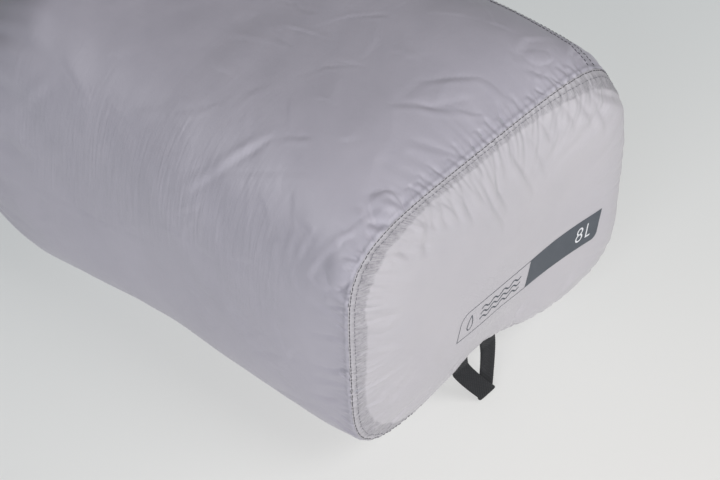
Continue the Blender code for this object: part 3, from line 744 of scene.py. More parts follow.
def sack_pieces(surface):
    body, cap = surface["body"], surface["cap"]
    reach, cap_d = surface["reach"], surface["cap_d"]
    normals = grid_normals(body)
    around_uv = closed_uv_columns(surface["length"], surface["total"])
    split = int(np.searchsorted(surface["body_s"], BODY_END)) + 3
    made = []

    # painted shade: how far the cloth's colour turns to the darker seam-shade colour, along the bottom seam
    # and along the side seam
    near = 0.18 * np.exp(-reach / (4 * MM))[:, None]
    near = near + 0.30 * np.exp(-((surface["seam_gap"] / (2.4 * MM)) ** 4))
    obj = make_mesh(
        "sack_body",
        body[: split + 1],
        [grid_quads(split + 1, AROUND, flip=True)],
        [grid_uv(around_uv, reach[: split + 1], split + 1, AROUND, flip=True)],
        {
            "ripple": (ripple_mask(surface["across"], reach))[: split + 1],
            "band": near[: split + 1],
            "round": np.repeat(surface["length"][None, :], split + 1, 0),
            "inward": np.repeat(reach[: split + 1, None], AROUND, 1),
        },
        normals[: split + 1],
    )
    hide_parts("body_panel")
    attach(obj, "sack")
    made.append(obj)

    quarter = AROUND // 4
    for word, first in (("right", -quarter), ("left", quarter)):
        columns = np.arange(first, first + AROUND // 2 + 1) % AROUND
        part = body[split:, columns]
        count = len(columns)
        u = surface["total"] * np.arange(first, first + count) / AROUND
        roof = make_mesh(
            f"roof_{word}",
            part,
            [grid_quads(len(part), count, closed=False, flip=True)],
            [grid_uv(u, reach[split:], len(part), count, closed=False, flip=True)],
            {"band": near[split:, columns]},
            normals[split:, columns],
        )
        made.append(roof)

    # the bottom panel, closed by a fan at its middle
    cap_rows = len(cap_d)
    middle = cap[-1].mean(0)
    points = np.concatenate([cap.reshape(-1, 3), middle[None]])
    last = (cap_rows - 1) * AROUND + np.arange(AROUND)
    fan = np.stack([last, np.full(AROUND, cap_rows * AROUND), np.roll(last, -1)], 1)
    quads = grid_quads(cap_rows, AROUND, flip=True)
    quad_uv = points[quads][:, :, [0, 2]]
    fan_uv = points[fan][:, :, [0, 2]]
    length, total = surface["length"], surface["total"]
    # painted shade on the bottom panel: a darker band along its seam, wider at the corners and towards -X,
    # where the gathers crowd
    rng = np.random.default_rng(5)
    x = cap[0][:, 0] / BASE_HALF[0]
    z = (cap[0][:, 2] - BASE_MID_Z) / BASE_HALF[1]
    corner = smooth(0.55, 0.95, np.abs(x)) * smooth(0.45, 0.9, np.abs(z))
    edge = 4.7 + 0.9 * smooth(0.4, 0.9, -x) + 1.3 * corner
    edge += 0.30 * waves(rng, surface["turn"], 5, 24, 8) + 0.12 * waves(rng, surface["turn"], 50, 150, 12)
    weight = 0.40 + 0.08 * corner + 0.04 * smooth(0.3, 0.95, -x)
    band = weight[None, :] * (1 - smooth(-0.40, 0.40, cap_d[:, None] / MM - edge[None, :]))
    band *= 0.30 + 0.70 * smooth(0.9, 1.7, cap_d[:, None] / MM)
    values = np.concatenate([band.ravel(), [0.0]])
    round_it = np.concatenate([np.repeat(length[None, :], cap_rows, 0).ravel(), [0.0]])
    inward = np.concatenate([np.repeat(cap_d[:, None], AROUND, 1).ravel(), [BASE_HALF[1]]])
    panel = make_mesh(
        "bottom_panel_cloth", points, [quads, fan], [quad_uv, fan_uv],
        {"band": values, "round": round_it, "inward": inward},
    )
    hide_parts("bottom_panel")
    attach(panel, "sack")
    made.append(panel)
    return made


def ripple_mask(across, reach):
    """Where the cloth is drawn tight round a shoulder, and so shows fine ripples across the sack."""
    left = np.exp(-(((across + 104 * MM) / (26 * MM)) ** 2))
    right = 0.7 * np.exp(-(((across - 108 * MM) / (22 * MM)) ** 2))
    return (0.25 + left + right)[None, :] * smooth(10 * MM, 70 * MM, reach)[:, None]


def tape_pieces(surface):
    """Heat-sealed tape behind both seams, just inside the cloth."""
    body, cap = surface["body"], surface["cap"]
    body_rows = [i for i, s in enumerate(surface["reach"]) if 1.2 * MM < s < 9 * MM][::2]
    cap_rows = [i for i, d in enumerate(surface["cap_d"]) if 1.2 * MM < d < 9.5 * MM][::2]
    body_n = grid_normals(body)
    cap_n = np.zeros_like(cap)
    cap_n[:, :, 1] = -1.0
    inside_cap = cap[cap_rows[::-1]] - cap_n[cap_rows[::-1]] * 0.7 * MM
    inside_body = body[body_rows] - body_n[body_rows] * 0.7 * MM
    corner = cap[:1] * np.array([0.988, 1.0, 0.988]) + np.array([0.0, 0.9 * MM, 0.012 * BASE_MID_Z])
    grid = np.concatenate([inside_cap, corner, inside_body])[:, ::4]
    count = grid.shape[1]
    u = surface["total"] * np.arange(count + 1) / count
    v = np.arange(len(grid)) * 1.4 * MM
    tape = make_mesh("bottom_tape", grid, [grid_quads(len(grid), count)], [grid_uv(u, v, len(grid), count)])
    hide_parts("bottom_seam_tape")
    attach(tape, "sack")

    column = side_seam_column(surface["body"], surface["body_s"])
    strip = []
    for i in range(4, int(np.searchsorted(surface["body_s"], BODY_END))):
        columns = [(column + k) % AROUND for k in range(-16, 17, 2)]
        strip.append([body[i, c] - body_n[i, c] * 0.7 * MM for c in columns])
    strip = np.array(strip)
    u = np.arange(strip.shape[1]) * 1.0 * MM
    v = surface["reach"][4 : 4 + len(strip)]
    side = make_mesh(
        "side_tape", strip, [grid_quads(*strip.shape[:2], closed=False)],
        [grid_uv(u, v, *strip.shape[:2], closed=False)],
    )
    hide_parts("side_seam_tape")
    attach(side, "sack")
    for obj in (tape, side):
        thick = obj.modifiers.new("thickness", "SOLIDIFY")
        thick.thickness = 0.12 * MM
        thick.offset = 0.0
    return [tape, side]




# ---------------------------------------------------------------- thread


def stitch_row(name, path, normals, pitch, share, radius, phase=0.0):
    """Separate stitches along a path: each dips into the cloth at both of its ends."""
    path = np.asarray(path)
    normals = np.asarray(normals)
    step = np.linalg.norm(np.diff(path, axis=0), axis=1)
    travelled = np.concatenate([[0.0], np.cumsum(step)])
    starts = np.arange(phase * pitch, travelled[-1] - pitch, pitch)
    points, faces = [], []
    stations = np.linspace(0, 1, 9)
    lift = (np.sin(math.pi * stations) ** 0.5) * 1.15 - 0.55
    swell = np.array([0.45, 0.8, 0.95, 1.0, 1.0, 1.0, 0.95, 0.8, 0.45])
    sides = 6
    for start in starts:
        at = start + stations * pitch * share
        middle = np.stack([np.interp(at, travelled, path[:, k]) for k in range(3)], 1)
        up = np.stack([np.interp(at, travelled, normals[:, k]) for k in range(3)], 1)
        up /= np.linalg.norm(up, axis=1, keepdims=True)
        run = np.gradient(middle, axis=0)
        run /= np.linalg.norm(run, axis=1, keepdims=True)
        side = np.cross(run, up)
        middle = middle + up * (lift * radius)[:, None]
        base = len(points)
        for k in range(len(stations)):
            for j in range(sides):
                angle = 2 * math.pi * j / sides
                reach = radius * swell[k]
                points.append(middle[k] + (side[k] * math.cos(angle) + up[k] * math.sin(angle) * 0.8) * reach)
        for k in range(len(stations) - 1):
            for j in range(sides):
                a = base + k * sides + j
                b = base + k * sides + (j + 1) % sides
                faces.append((a, b, b + sides, a + sides))
        for end, order in ((base, (0, 1, 2, 3)), (base, (0, 3, 4, 5))):
            faces.append(tuple(end + i for i in order))
        top = base + (len(stations) - 1) * sides
        for order in ((3, 2, 1, 0), (5, 4, 3, 0)):
            faces.append(tuple(top + i for i in order))
    obj = make_mesh(name, points, [np.array(faces)])
    return obj


def row_between(grid, keys, value):
    """One line of a grid at a value between its rows."""
    i = int(np.clip(np.searchsorted(keys, value) - 1, 0, len(keys) - 2))
    t = (value - keys[i]) / (keys[i + 1] - keys[i])
    return grid[i] * (1 - t) + grid[i + 1] * t


STITCH_PITCH = 2.3 * MM


def stitch_pieces(surface):
    cap, body = surface["cap"], surface["body"]
    cap_n = -grid_normals(cap)
    cap_n = np.where(cap_n[:, :, 1:2] > 0.3, -cap_n, cap_n)
    body_n = grid_normals(body)
    made = []
    rim_rows = (("outer", 0.45 * MM, 0.21 * MM, 0.93, 0.0), ("inner", 2.2 * MM, 0.13 * MM, 0.80, 0.4))
    for name, distance, radius, share, phase in rim_rows:
        path = row_between(cap, surface["cap_d"], distance)
        up = row_between(cap_n, surface["cap_d"], distance)
        path = np.concatenate([path, path[:1]])
        up = np.concatenate([up, up[:1]])
        obj = stitch_row(f"bottom_stitches_{name}", path, up, STITCH_PITCH, share, radius, phase)
        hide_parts(f"bottom_stitch_{name}")
        made.append(obj)
    made.append(thread_end(cap, cap_n))
    column = side_seam_column(body, surface["body_s"])
    split = int(np.searchsorted(surface["body_s"], BODY_END))
    roof_made = []
    for name, shift in (("low", -4), ("high", 4)):
        for word, rows in (("side", slice(3, split + 1)), ("roof", slice(split, len(body) - 4))):
            path = body[rows, (column + shift) % AROUND]
            up = body_n[rows, (column + shift) % AROUND]
            obj = stitch_row(f"{word}_stitches_{name}", path, up, STITCH_PITCH, 0.84, 0.22 * MM, 0.2)
            if word == "side":
                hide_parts(f"side_stitch_{name}")
                made.append(obj)
            else:
                roof_made.append(obj)
    for obj in made:
        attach(obj, "sack")
    return made, roof_made


def thread_end(cap, cap_n):
    """A cut thread end left standing by the far upper corner."""
    x = cap[:, :, 0] - 75.0 * MM
    z = cap[:, :, 2] - 152.0 * MM
    row, column = np.unravel_index(np.argmin(np.hypot(x, z)), x.shape)
    start = cap[row, column]
    run = np.array([0.35, 0.0, -1.0]) * MM
    path = np.array([start + run * k for k in range(5)])
    up = np.repeat(cap_n[row, column][None], 5, 0)
    return stitch_row("thread_end", path, up, 3.6 * MM, 0.95, 0.30 * MM)


# ---------------------------------------------------------------- rolled mouth


def roll_section(count=120):
    """Outline of the flat roll: across its thickness and across its width, and its outward direction."""
    angle = 2 * math.pi * np.arange(count) / count
    c, s = np.cos(angle), np.sin(angle)
    t = ROLL_HALF_T * np.sign(c) * np.abs(c) ** (2 / 2.6)
    w = ROLL_HALF_W * np.sign(s) * np.abs(s) ** (2 / 3.4)
    return angle, t, w


def roll_half(side, word, stations=190):
    """Half of the rolled mouth. The cloth's wrinkles run along it, and its end shows the layers."""
    rng = np.random.default_rng(31 if side < 0 else 32)
    shared = np.random.default_rng(33)
    along = np.linspace(0, ROLL_HALF_LENGTH, stations)
    angle, t, w = roll_section()
    point, travel, outward = ring_at(side * along)
    count = len(angle)
    lift = np.zeros((stations, count))
    for _ in range(16):
        wave = int(shared.integers(2, 11))
        drift = shared.uniform(-1, 1) * 22
        start = shared.uniform(0, 6.3)
        lift += 0.11 * MM * np.sin(wave * angle[None, :] + start + drift * side * along[:, None])
    creases = np.zeros_like(lift)
    for _ in range(34):
        at = rng.uniform(6, 152) * MM
        middle = rng.uniform(0, 2 * math.pi)
        lean = rng.uniform(-9, 9) * MM
        half = rng.uniform(0.8, 2.2) * MM
        span = rng.uniform(0.35, 1.0)
        turn = (angle[None, :] - middle + math.pi) % (2 * math.pi) - math.pi
        gap = (along[:, None] - at - lean * turn) / half
        creases -= rng.uniform(0.2, 0.5) * MM * np.exp(-(gap**2)) * np.exp(-((turn / span) ** 2))
    lift += creases
    # the outermost layer's edge runs along the side that faces the sack
    layer = 0.45 * MM * (smooth(0.45, 0.52, (angle / math.pi) % 2) - 0.5)
    lift += layer[None, :]
    tangent_t = np.gradient(np.concatenate([t[-1:], t, t[:1]]))[1:-1]
    tangent_w = np.gradient(np.concatenate([w[-1:], w, w[:1]]))[1:-1]
    normal_t, normal_w = tangent_w, -tangent_t
    size = np.hypot(normal_t, normal_w)
    normal_t, normal_w = normal_t / size, normal_w / size
    end = 1 - 0.10 * smooth(ROLL_HALF_LENGTH - 12 * MM, ROLL_HALF_LENGTH, along)[:, None]
    t_all = (t[None, :] + lift * normal_t[None, :]) * end
    w_all = (w[None, :] + lift * normal_w[None, :]) * end
    up = np.array([0.0, 0.0, 1.0])
    grid = point[:, None] + outward[:, None] * t_all[:, :, None] + up * w_all[:, :, None]

    # the end: rings that shrink inwards, with a spiral groove between the layers
    last_t, last_w = t_all[-1], w_all[-1]
    rings = []
    shares = np.linspace(1, 0.16, 34)[1:]
    for k in shares:
        turns = (1 - k) * 3.4 + (angle / (2 * math.pi) if side > 0 else 1 - angle / (2 * math.pi))
        groove = -1.0 * MM * (0.5 + 0.5 * np.cos(2 * math.pi * turns)) ** 2.0
        puff = 0.9 * MM * (1 - k**4)
        push = (groove + puff)[:, None] * side * travel[-1]
        shrink = (1 - k) * last_t.max() * np.sign(last_w) * np.minimum(np.abs(last_w) / last_t.max(), 1)
        inward = point[-1] + outward[-1] * (last_t * (k**0.9))[:, None] + up * (last_w - shrink)[:, None]
        rings.append(inward + push)
    full = np.concatenate([grid, np.array(rings)])
    rows = len(full)
    flip = side < 0
    u = 0.052 * np.arange(count + 1) / count
    v = np.concatenate([along, ROLL_HALF_LENGTH + 5 * MM * (1 - shares)])
    quads = grid_quads(rows, count, flip=not flip)
    uv = grid_uv(u, v, rows, count, flip=not flip)
    middle = full[-1].mean(0)
    last = (rows - 1) * count + np.arange(count)
    fan = np.stack([last, np.roll(last, -1), np.full(count, rows * count)], 1)
    if not flip:
        fan = fan[:, ::-1]
    points = np.concatenate([full.reshape(-1, 3), middle[None]])
    fan_uv = np.zeros((count, 3, 2)) + np.array([0.01, 0.16])
    obj = make_mesh(f"roll_{word}", points, [quads, fan], [uv, fan_uv], {"band": np.zeros(len(points))})
    return obj


def strip_half(side, word):
    """The stiff strip inside the roll, its rounded end just showing between the layers."""
    tip = ROLL_HALF_LENGTH + np.array([-1, 0.2, 0.9, 1.3]) * MM
    along = np.concatenate([np.linspace(0, ROLL_HALF_LENGTH - 2 * MM, 60), tip])
    point, travel, outward = ring_at(side * np.minimum(along, ROLL_HALF_LENGTH))
    point = point + side * travel * np.maximum(along - ROLL_HALF_LENGTH, 0)[:, None]
    angle = 2 * math.pi * np.arange(32) / 32
    c, s = np.cos(angle), np.sin(angle)
    t = 1.1 * MM * np.sign(c) * np.abs(c) ** 0.5
    w = 9.6 * MM * np.sign(s) * np.abs(s) ** 0.25
    size = np.ones(len(along))
    size[-3:] = (0.97, 0.9, 0.72)
    grid = point[:, None] + outward[:, None] * (t[None, :] * size[:, None])[:, :, None]
    grid[:, :, 2] += w[None, :] * size[:, None]
    rows, count = grid.shape[:2]
    points = np.concatenate([grid.reshape(-1, 3), grid[-1].mean(0)[None], grid[0].mean(0)[None]])
    last = (rows - 1) * count + np.arange(count)
    fan = np.stack([last, np.full(count, rows * count), np.roll(last, -1)], 1)
    first = np.stack([np.arange(count), np.roll(np.arange(count), -1), np.full(count, rows * count + 1)], 1)
    flip = side > 0
    quads = grid_quads(rows, count, flip=flip)
    if not flip:
        fan, first = fan[:, ::-1], first[:, ::-1]
    return make_mesh(f"stiff_strip_{word}", points, [quads, np.concatenate([fan, first])])


def blend_to_arm(obj, side):
    """Bakes the object's place into its mesh. The hinge's point on the ring is worked out but not used."""
    point, travel, _ = ring_at(side * CENTRE_HALF)
    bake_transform(obj)


def mouth_pieces():
    rolls, strips = [], []
    for side, word in ((-1, "left"), (1, "right")):
        roll = roll_half(side, word)
        strip = strip_half(side, word)
        if side < 0:
            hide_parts("rolled_mouth_left", "rolled_mouth_centre")
            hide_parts("mouth_strip_left", "mouth_strip_centre")
        else:
            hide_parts("rolled_mouth_right")
            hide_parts("mouth_strip_right")
        for obj in (roll, strip):
            blend_to_arm(obj, side)
        rolls.append(roll)
        strips.append(strip)
    return rolls, strips


# ---------------------------------------------------------------- webbing

BUCKLE_Y = RING_Y + RING_B - 1.5 * MM
BAR_X = 26.25 * MM
TAB_W = 19.6 * MM
TAB_LAYER = 1.2 * MM
WRAP_RADIUS = 3.15 * MM

LOOP_AXIS = np.array([-8.0, -146.15, 22.9]) * MM
LOOP_W = 11.5 * MM
LOOP_T = 1.15 * MM
LOOP_DEPTH = 23.6 * MM
LOOP_SPREAD = 11.0 * MM
LOOP_LEAN = math.radians(22.0)


def resample(path, step):
    path = np.asarray(path, float)
    run = np.linalg.norm(np.diff(path, axis=0), axis=1)
    travelled = np.concatenate([[0.0], np.cumsum(run)])
    count = max(4, int(round(travelled[-1] / step)))
    at = np.linspace(0, travelled[-1], count + 1)
    return np.stack([np.interp(at, travelled, path[:, k]) for k in range(path.shape[1])], 1), at


def soften(values, rounds):
    values = np.array(values, float)
    for _ in range(rounds):
        values[1:-1] = 0.25 * values[:-2] + 0.5 * values[1:-1] + 0.25 * values[2:]
    return values


def webbing(name, path, across, width, thickness, rib=1.55 * MM):
    """A woven band along a path. across is its width direction at every point of the path."""
    path, at = resample(path, 0.35 * MM)
    path = soften(path, 3)
    across = np.asarray(across, float)
    if across.ndim == 1:
        across = np.repeat(across[None], len(path), 0)
    run = np.gradient(path, axis=0)
    run /= np.linalg.norm(run, axis=1, keepdims=True)
    up = np.cross(run, across)
    up /= np.linalg.norm(up, axis=1, keepdims=True)
    lanes = 34
    place = np.linspace(-1, 1, lanes)
    edge = (1 - np.abs(place) ** 9) ** 0.5
    half = thickness / 2
    v = place * width / 2
    rows = []
    for k in range(len(path)):
        phase = 2 * math.pi * at[k] / (0.95 * MM)
        weave = 0.045 * MM * np.cos(2 * math.pi * v / rib) * np.cos(phase + 3.14 * (v > 0))
        weave += 0.035 * MM * np.cos(4 * math.pi * v / rib)
        nub = 0.05 * MM * math.cos(phase)
        stretch = 1 + nub / (width / 2)
        top = path[k] + across[k] * (v * stretch)[:, None] + up[k] * (half * edge + weave)[:, None]
        low = path[k] + across[k] * (v * stretch)[:, None] - up[k] * (half * edge + weave)[:, None]
        rows.append(np.concatenate([top, low[::-1]]))
    grid = np.array(rows)
    count = grid.shape[1]
    points = np.concatenate([grid.reshape(-1, 3), grid[0].mean(0)[None], grid[-1].mean(0)[None]])
    first = np.stack([np.roll(np.arange(count), -1), np.arange(count), np.full(count, len(grid) * count)], 1)
    base = (len(grid) - 1) * count + np.arange(count)
    last = np.stack([base, np.roll(base, -1), np.full(count, len(grid) * count + 1)], 1)
    u = np.concatenate([v, v[::-1], v[:1]])
    uv = grid_uv(u, at, len(grid), count)
    zero = np.zeros((count, 3, 2))
    faces = [grid_quads(len(grid), count), np.concatenate([first, last])]
    return make_mesh(name, points, faces, [uv, zero, zero])


def loop_path():
    """One strip, out of the seam, down to its crease and back, each leg on its own side."""
    down = np.array([0.0, -math.sin(LOOP_LEAN), -math.cos(LOOP_LEAN)])
    out = np.array([0.0, -math.cos(LOOP_LEAN), math.sin(LOOP_LEAN)])
    fold = LOOP_T / 2 + 0.3 * MM
    straight = LOOP_DEPTH - fold - LOOP_T / 2
    points = []

    def add(x, depth, lift):
        if depth < 0:
            points.append(LOOP_AXIS + np.array([x, 0.10 * -depth, -depth]) + out * lift)
        else:
            points.append(LOOP_AXIS + np.array([x, 0.0, 0.0]) + down * depth + out * lift)

    for share in np.linspace(-0.28, 1, 33):
        past = max(share, 0.0)
        lift = mix(0.5 * MM, fold, past) + 0.5 * MM * math.sin(3.1 * past)
        add(-LOOP_SPREAD * (1 - past**1.25), straight * share, lift)
    for angle in np.linspace(0, math.pi, 13)[1:-1]:
        add(0.0, straight + fold * math.sin(angle), fold * math.cos(angle))
    for share in np.linspace(1, -0.28, 33):
        past = max(share, 0.0)
        lift = -mix(0.4 * MM, fold, past) - 0.3 * MM * math.sin(3.1 * past)
        add(LOOP_SPREAD * (1 - past**1.25), straight * share, lift)
    return np.array(points), down


def loop_piece():
    path, down = loop_path()
    obj = webbing("haul_loop_web", path, np.array([1.0, 0.0, 0.0]), LOOP_W, LOOP_T)
    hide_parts("haul_loop")
    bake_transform(obj)
    return obj


def tab_run(side):
    """Bar centre, direction towards the roll's end, outward normal and reach of a webbing tab."""
    end_point = ring_at(side * (ROLL_HALF_LENGTH - 4.0 * MM))[0]
    bar = np.array([side * BAR_X, BUCKLE_Y, RING_Z])
    reach = end_point - bar
    along = reach / np.linalg.norm(reach)
    outward = np.array([-along[1], along[0], 0.0]) * -side
    if outward[1] < 0:
        outward = -outward
    return bar, along, outward, np.linalg.norm(reach)


def tab_piece(side, word):
    bar, along, outward, reach = tab_run(side)
    half = TAB_LAYER / 2 + 0.06 * MM
    start = math.asin(half / WRAP_RADIUS)
    points = [bar + along * d + outward * half for d in np.linspace(reach, WRAP_RADIUS * 1.6, 10)]
    for angle in np.linspace(start, 2 * math.pi - start, 40):
        points.append(bar + (along * math.cos(angle) + outward * math.sin(angle)) * WRAP_RADIUS)
    points += [bar + along * d - outward * half for d in np.linspace(WRAP_RADIUS * 1.6, reach, 10)]
    obj = webbing(f"tab_{word}", np.array(points), np.array([0.0, 0.0, 1.0]), TAB_W, TAB_LAYER)
    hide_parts(f"buckle_tab_{word}")
    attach(obj, f"{word}_arm")

    # a dense zigzag of thread through both layers
    zig = []
    teeth = 15
    for i in range(teeth + 1):
        z = mix(-8.2 * MM, 8.2 * MM, i / teeth)
        d = (6.2 + (0.95 if i % 2 else -0.95)) * MM
        zig.append(bar + along * d + outward * (TAB_LAYER + 0.30 * MM) + np.array([0, 0, z]))
    thread = zigzag(f"bartack_{word}", np.array(zig), outward, 0.30 * MM)
    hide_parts(f"tab_bartack_{word}")
    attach(thread, f"{word}_arm")
    return obj, thread


def zigzag(name, corners, up, radius):
    """Two round threads, one on each side of the line through the corners, as a bartack is sewn."""
    points, faces = [], []
    sides = 8
    for shift in (-0.33, 0.33):
        path, _ = resample(corners + np.array([0, 0, shift * MM]), 0.16 * MM)
        path = soften(path, 2)
        run = np.gradient(path, axis=0)
        run /= np.linalg.norm(run, axis=1, keepdims=True)
        side = np.cross(run, up)
        side /= np.linalg.norm(side, axis=1, keepdims=True)
        lift = np.cross(side, run)
        base = len(points)
        for k in range(len(path)):
            for j in range(sides):
                angle = 2 * math.pi * j / sides
                points.append(path[k] + (side[k] * math.cos(angle) + lift[k] * math.sin(angle)) * radius)
        for k in range(len(path) - 1):
            for j in range(sides):
                a = base + k * sides + j
                b = base + k * sides + (j + 1) % sides
                faces.append((a, b, b + sides, a + sides))
        top = base + (len(path) - 1) * sides
        for first, order in ((base, (3, 2, 1, 0)), (base, (5, 4, 3, 0)), (base, (7, 6, 5, 0))):
            faces.append(tuple(first + i for i in order))
        for order in ((0, 1, 2, 3), (0, 3, 4, 5), (0, 5, 6, 7)):
            faces.append(tuple(top + i for i in order))
    return make_mesh(name, points, [np.array(faces)])


# ---------------------------------------------------------------- print on the bottom panel

LABEL_LOW_LEFT = (-34.8, 61.9)
LABEL_LOW_RIGHT = (66.7, 59.1)
LABEL_HIGH_LEFT = (-30.9, 77.4)
LABEL_HIGH_RIGHT = (70.1, 76.6)
LABEL_W = 101.0
LABEL_H = 15.6
LABEL_DIVIDE = 50.0


def label_place(points):
    """Label millimetres, from its lower left corner, to the object's x and z in metres."""
    u = points[..., 0] / LABEL_W
    v = points[..., 1] / LABEL_H
    low = np.array(LABEL_LOW_LEFT) * (1 - u)[..., None] + np.array(LABEL_LOW_RIGHT) * u[..., None]
    high = np.array(LABEL_HIGH_LEFT) * (1 - u)[..., None] + np.array(LABEL_HIGH_RIGHT) * u[..., None]
    return (low * (1 - v)[..., None] + high * v[..., None]) * MM


def printed(name, grids, surface_tree, lift):
    """Printed shapes: grids of label points laid on the cloth, a hair proud of it."""
    points, faces = [], []
    base = 0
    for grid in grids:
        flat = label_place(np.asarray(grid))
        rows, count = flat.shape[:2]
        for x, z in flat.reshape(-1, 2):
            hit, normal, _, _ = surface_tree.ray_cast(Vector((x, -0.3, z)), Vector((0, 1, 0)))
            if normal.y > 0:
                normal = -normal
            points.append(np.array(hit + normal * lift))
        faces.append(grid_quads(rows, count, closed=False) + base)
        base += rows * count
    return make_mesh(name, points, [np.concatenate(faces)])


def block(left, right, low, high, radius, step=0.8):
    """A filled rectangle whose lower right corner is round."""
    arc = radius * (1 - np.cos(np.linspace(0, math.pi / 2, 9)))
    rows = np.concatenate([arc, np.linspace(radius, high - low, int((high - low) / step))[1:]])
    columns = int((right - left) / step)
    grid = []
    for y in rows:
        reach = radius - math.sqrt(max(0.0, radius**2 - (radius - min(y, radius)) ** 2))
        grid.append([(mix(left, right - reach, i / columns), low + y) for i in range(columns + 1)])
    return np.array(grid)


def stroke(path, width, closed=False):
    """A line of even width along label points."""
    path = np.asarray(path, float)
    if closed:
        ahead, behind = np.roll(path, -1, 0), np.roll(path, 1, 0)
        run = ahead - behind
    else:
        run = np.gradient(path, axis=0)
    run /= np.maximum(np.linalg.norm(run, axis=1, keepdims=True), 1e-9)
    side = np.stack([-run[:, 1], run[:, 0]], 1) * width / 2
    if closed:
        path = np.concatenate([path, path[:1]])
        side = np.concatenate([side, side[:1]])
    return np.stack([path - side, path + side])


def frame_outline(left, right, low, high, radius):
    """A rectangle open on its right side, with a round upper left corner."""
    turn = np.radians(np.linspace(90, 180, 14))
    arc = [(left + radius * (1 + math.cos(a)), high - radius * (1 - math.sin(a))) for a in turn]
    return dense_line([(right, high)] + arc + [(left, low), (left + 0.01, low), (right, low)])


def dense_line(points, step=0.7):
    points = np.asarray(points, float)
    out = [points[0]]
    for p, q in zip(points, points[1:]):
        count = max(1, int(math.dist(p, q) / step))
        out += [mix(p, q, (i + 1) / count) for i in range(count)]
    return np.array(out)


def label_pieces(tree):
    frame_line = stroke(frame_outline(0.2, LABEL_DIVIDE, 0.2, LABEL_H - 0.2, 5.5), 0.42)
    dark = block(LABEL_DIVIDE, LABEL_W, 0.0, LABEL_H, 3.2)
    signs = []
    t = np.linspace(0, 2 * math.pi, 48, endpoint=False)
    # a drop of water, then waves
    drop_x = 7.6 + 2.35 * np.sin(t) * np.sin(t / 2) ** 1.1
    drop_y = 7.6 + 4.2 * np.cos(t)
    signs.append(stroke(np.stack([drop_x, drop_y], 1), 0.6, closed=True))
    for level in (4.6, 7.6, 10.6):
        x = np.linspace(15.0, 44.0, 90)
        signs.append(stroke(np.stack([x, level + 0.95 * np.sin((x - 15.0) * 2 * math.pi / 7.25)], 1), 0.75))
    ink = printed("print_dark", [frame_line, dark] + signs, tree, 0.07 * MM)

    # the capacity, the only lettering
    eight_x, l_x, foot, head = 87.6, 92.6, 4.4, 11.4
    waist = mix(foot, head, 0.52)
    low = np.stack([eight_x + 1.95 * np.sin(t), (foot + waist) / 2 + (waist - foot) / 2 * np.cos(t)], 1)
    high = np.stack([eight_x + 1.65 * np.sin(t), (waist + head) / 2 + (head - waist) / 2 * np.cos(t)], 1)
    ell = dense_line([(l_x, head + 0.3), (l_x, foot)], 0.5)
    ell_foot = dense_line([(l_x - 0.4, foot), (l_x + 2.9, foot)], 0.5)
    white = [stroke(bowl, 0.85, closed=True) for bowl in (low, high)]
    white += [stroke(line, 0.85) for line in (ell, ell_foot)]
    light = printed("print_capacity", white, tree, 0.13 * MM)
    for obj in (ink, light):
        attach(obj, "sack")
    return ink, light


# ---------------------------------------------------------------- materials


class Nodes:
    """Short words for making shader nodes."""

    def __init__(self, name):
        self.material = bpy.data.materials.new(name)
        self.material.use_nodes = True
        self.tree = self.material.node_tree
        self.shader = self.tree.nodes["Principled BSDF"]
        self.output = self.tree.nodes["Material Output"]

    def add(self, kind, **settings):
        node = self.tree.nodes.new(kind)
        for key, value in settings.items():
            setattr(node, key, value)
        return node

    def link(self, source, target):
        self.tree.links.new(source, target)

    def math(self, operation, a, b=None, clamp=False):
        node = self.add("ShaderNodeMath", operation=operation, use_clamp=clamp)
        for socket, value in zip(node.inputs, (a, b)):
            if value is None:
                continue
            if isinstance(value, (int, float)):
                socket.default_value = value
            else:
                self.link(value, socket)
        return node.outputs[0]

    def noise(self, vector, scale, detail=3.0, roughness=0.55):
        node = self.add("ShaderNodeTexNoise")
        node.inputs["Scale"].default_value = scale
        node.inputs["Detail"].default_value = detail
        node.inputs["Roughness"].default_value = roughness
        if vector is not None:
            self.link(vector, node.inputs["Vector"])
        return node.outputs["Fac"]

    def spread(self, value, low, high, to_low, to_high):
        node = self.add("ShaderNodeMapRange")
        node.clamp = True
        self.link(value, node.inputs["Value"])
        for key, number in zip(("From Min", "From Max", "To Min", "To Max"), (low, high, to_low, to_high)):
            node.inputs[key].default_value = number
        return node.outputs[0]

    def blend(self, share, a, b):
        node = self.add("ShaderNodeMix", data_type="RGBA")
        if isinstance(share, (int, float)):
            node.inputs[0].default_value = share
        else:
            self.link(share, node.inputs[0])
        for socket, value in zip((node.inputs[6], node.inputs[7]), (a, b)):
            if isinstance(value, tuple):
                socket.default_value = (*value, 1.0)
            else:
                self.link(value, socket)
        return node.outputs[2]

    def bump(self, height, strength, distance, under=None):
        node = self.add("ShaderNodeBump")
        node.inputs["Strength"].default_value = strength
        node.inputs["Distance"].default_value = distance
        self.link(height, node.inputs["Height"])
        if under is not None:
            self.link(under, node.inputs["Normal"])
        return node.outputs[0]

    def set(self, **values):
        names = {
            "colour": "Base Color", "roughness": "Roughness", "normal": "Normal", "sheen": "Sheen Weight",
            "sheen_roughness": "Sheen Roughness", "specular": "Specular IOR Level", "coat": "Coat Weight",
            "coat_roughness": "Coat Roughness", "subsurface": "Subsurface Weight",
        }
        for key, value in values.items():
            socket = self.shader.inputs[names[key]]
            if isinstance(value, tuple):
                socket.default_value = (*value, 1.0)
            elif isinstance(value, (int, float)):
                socket.default_value = value
            else:
                self.link(value, socket)


def woven(n, vector, pitch):
    """Plain weave: +1 where the warp is on top and -1 where the weft is, with round threads."""
    split = n.add("ShaderNodeSeparateXYZ")
    n.link(vector, split.inputs[0])
    turn = math.pi / pitch
    warp = n.math("SINE", n.math("MULTIPLY", split.outputs[0], turn))
    weft = n.math("SINE", n.math("MULTIPLY", split.outputs[1], turn))
    return n.math("MULTIPLY", warp, weft)


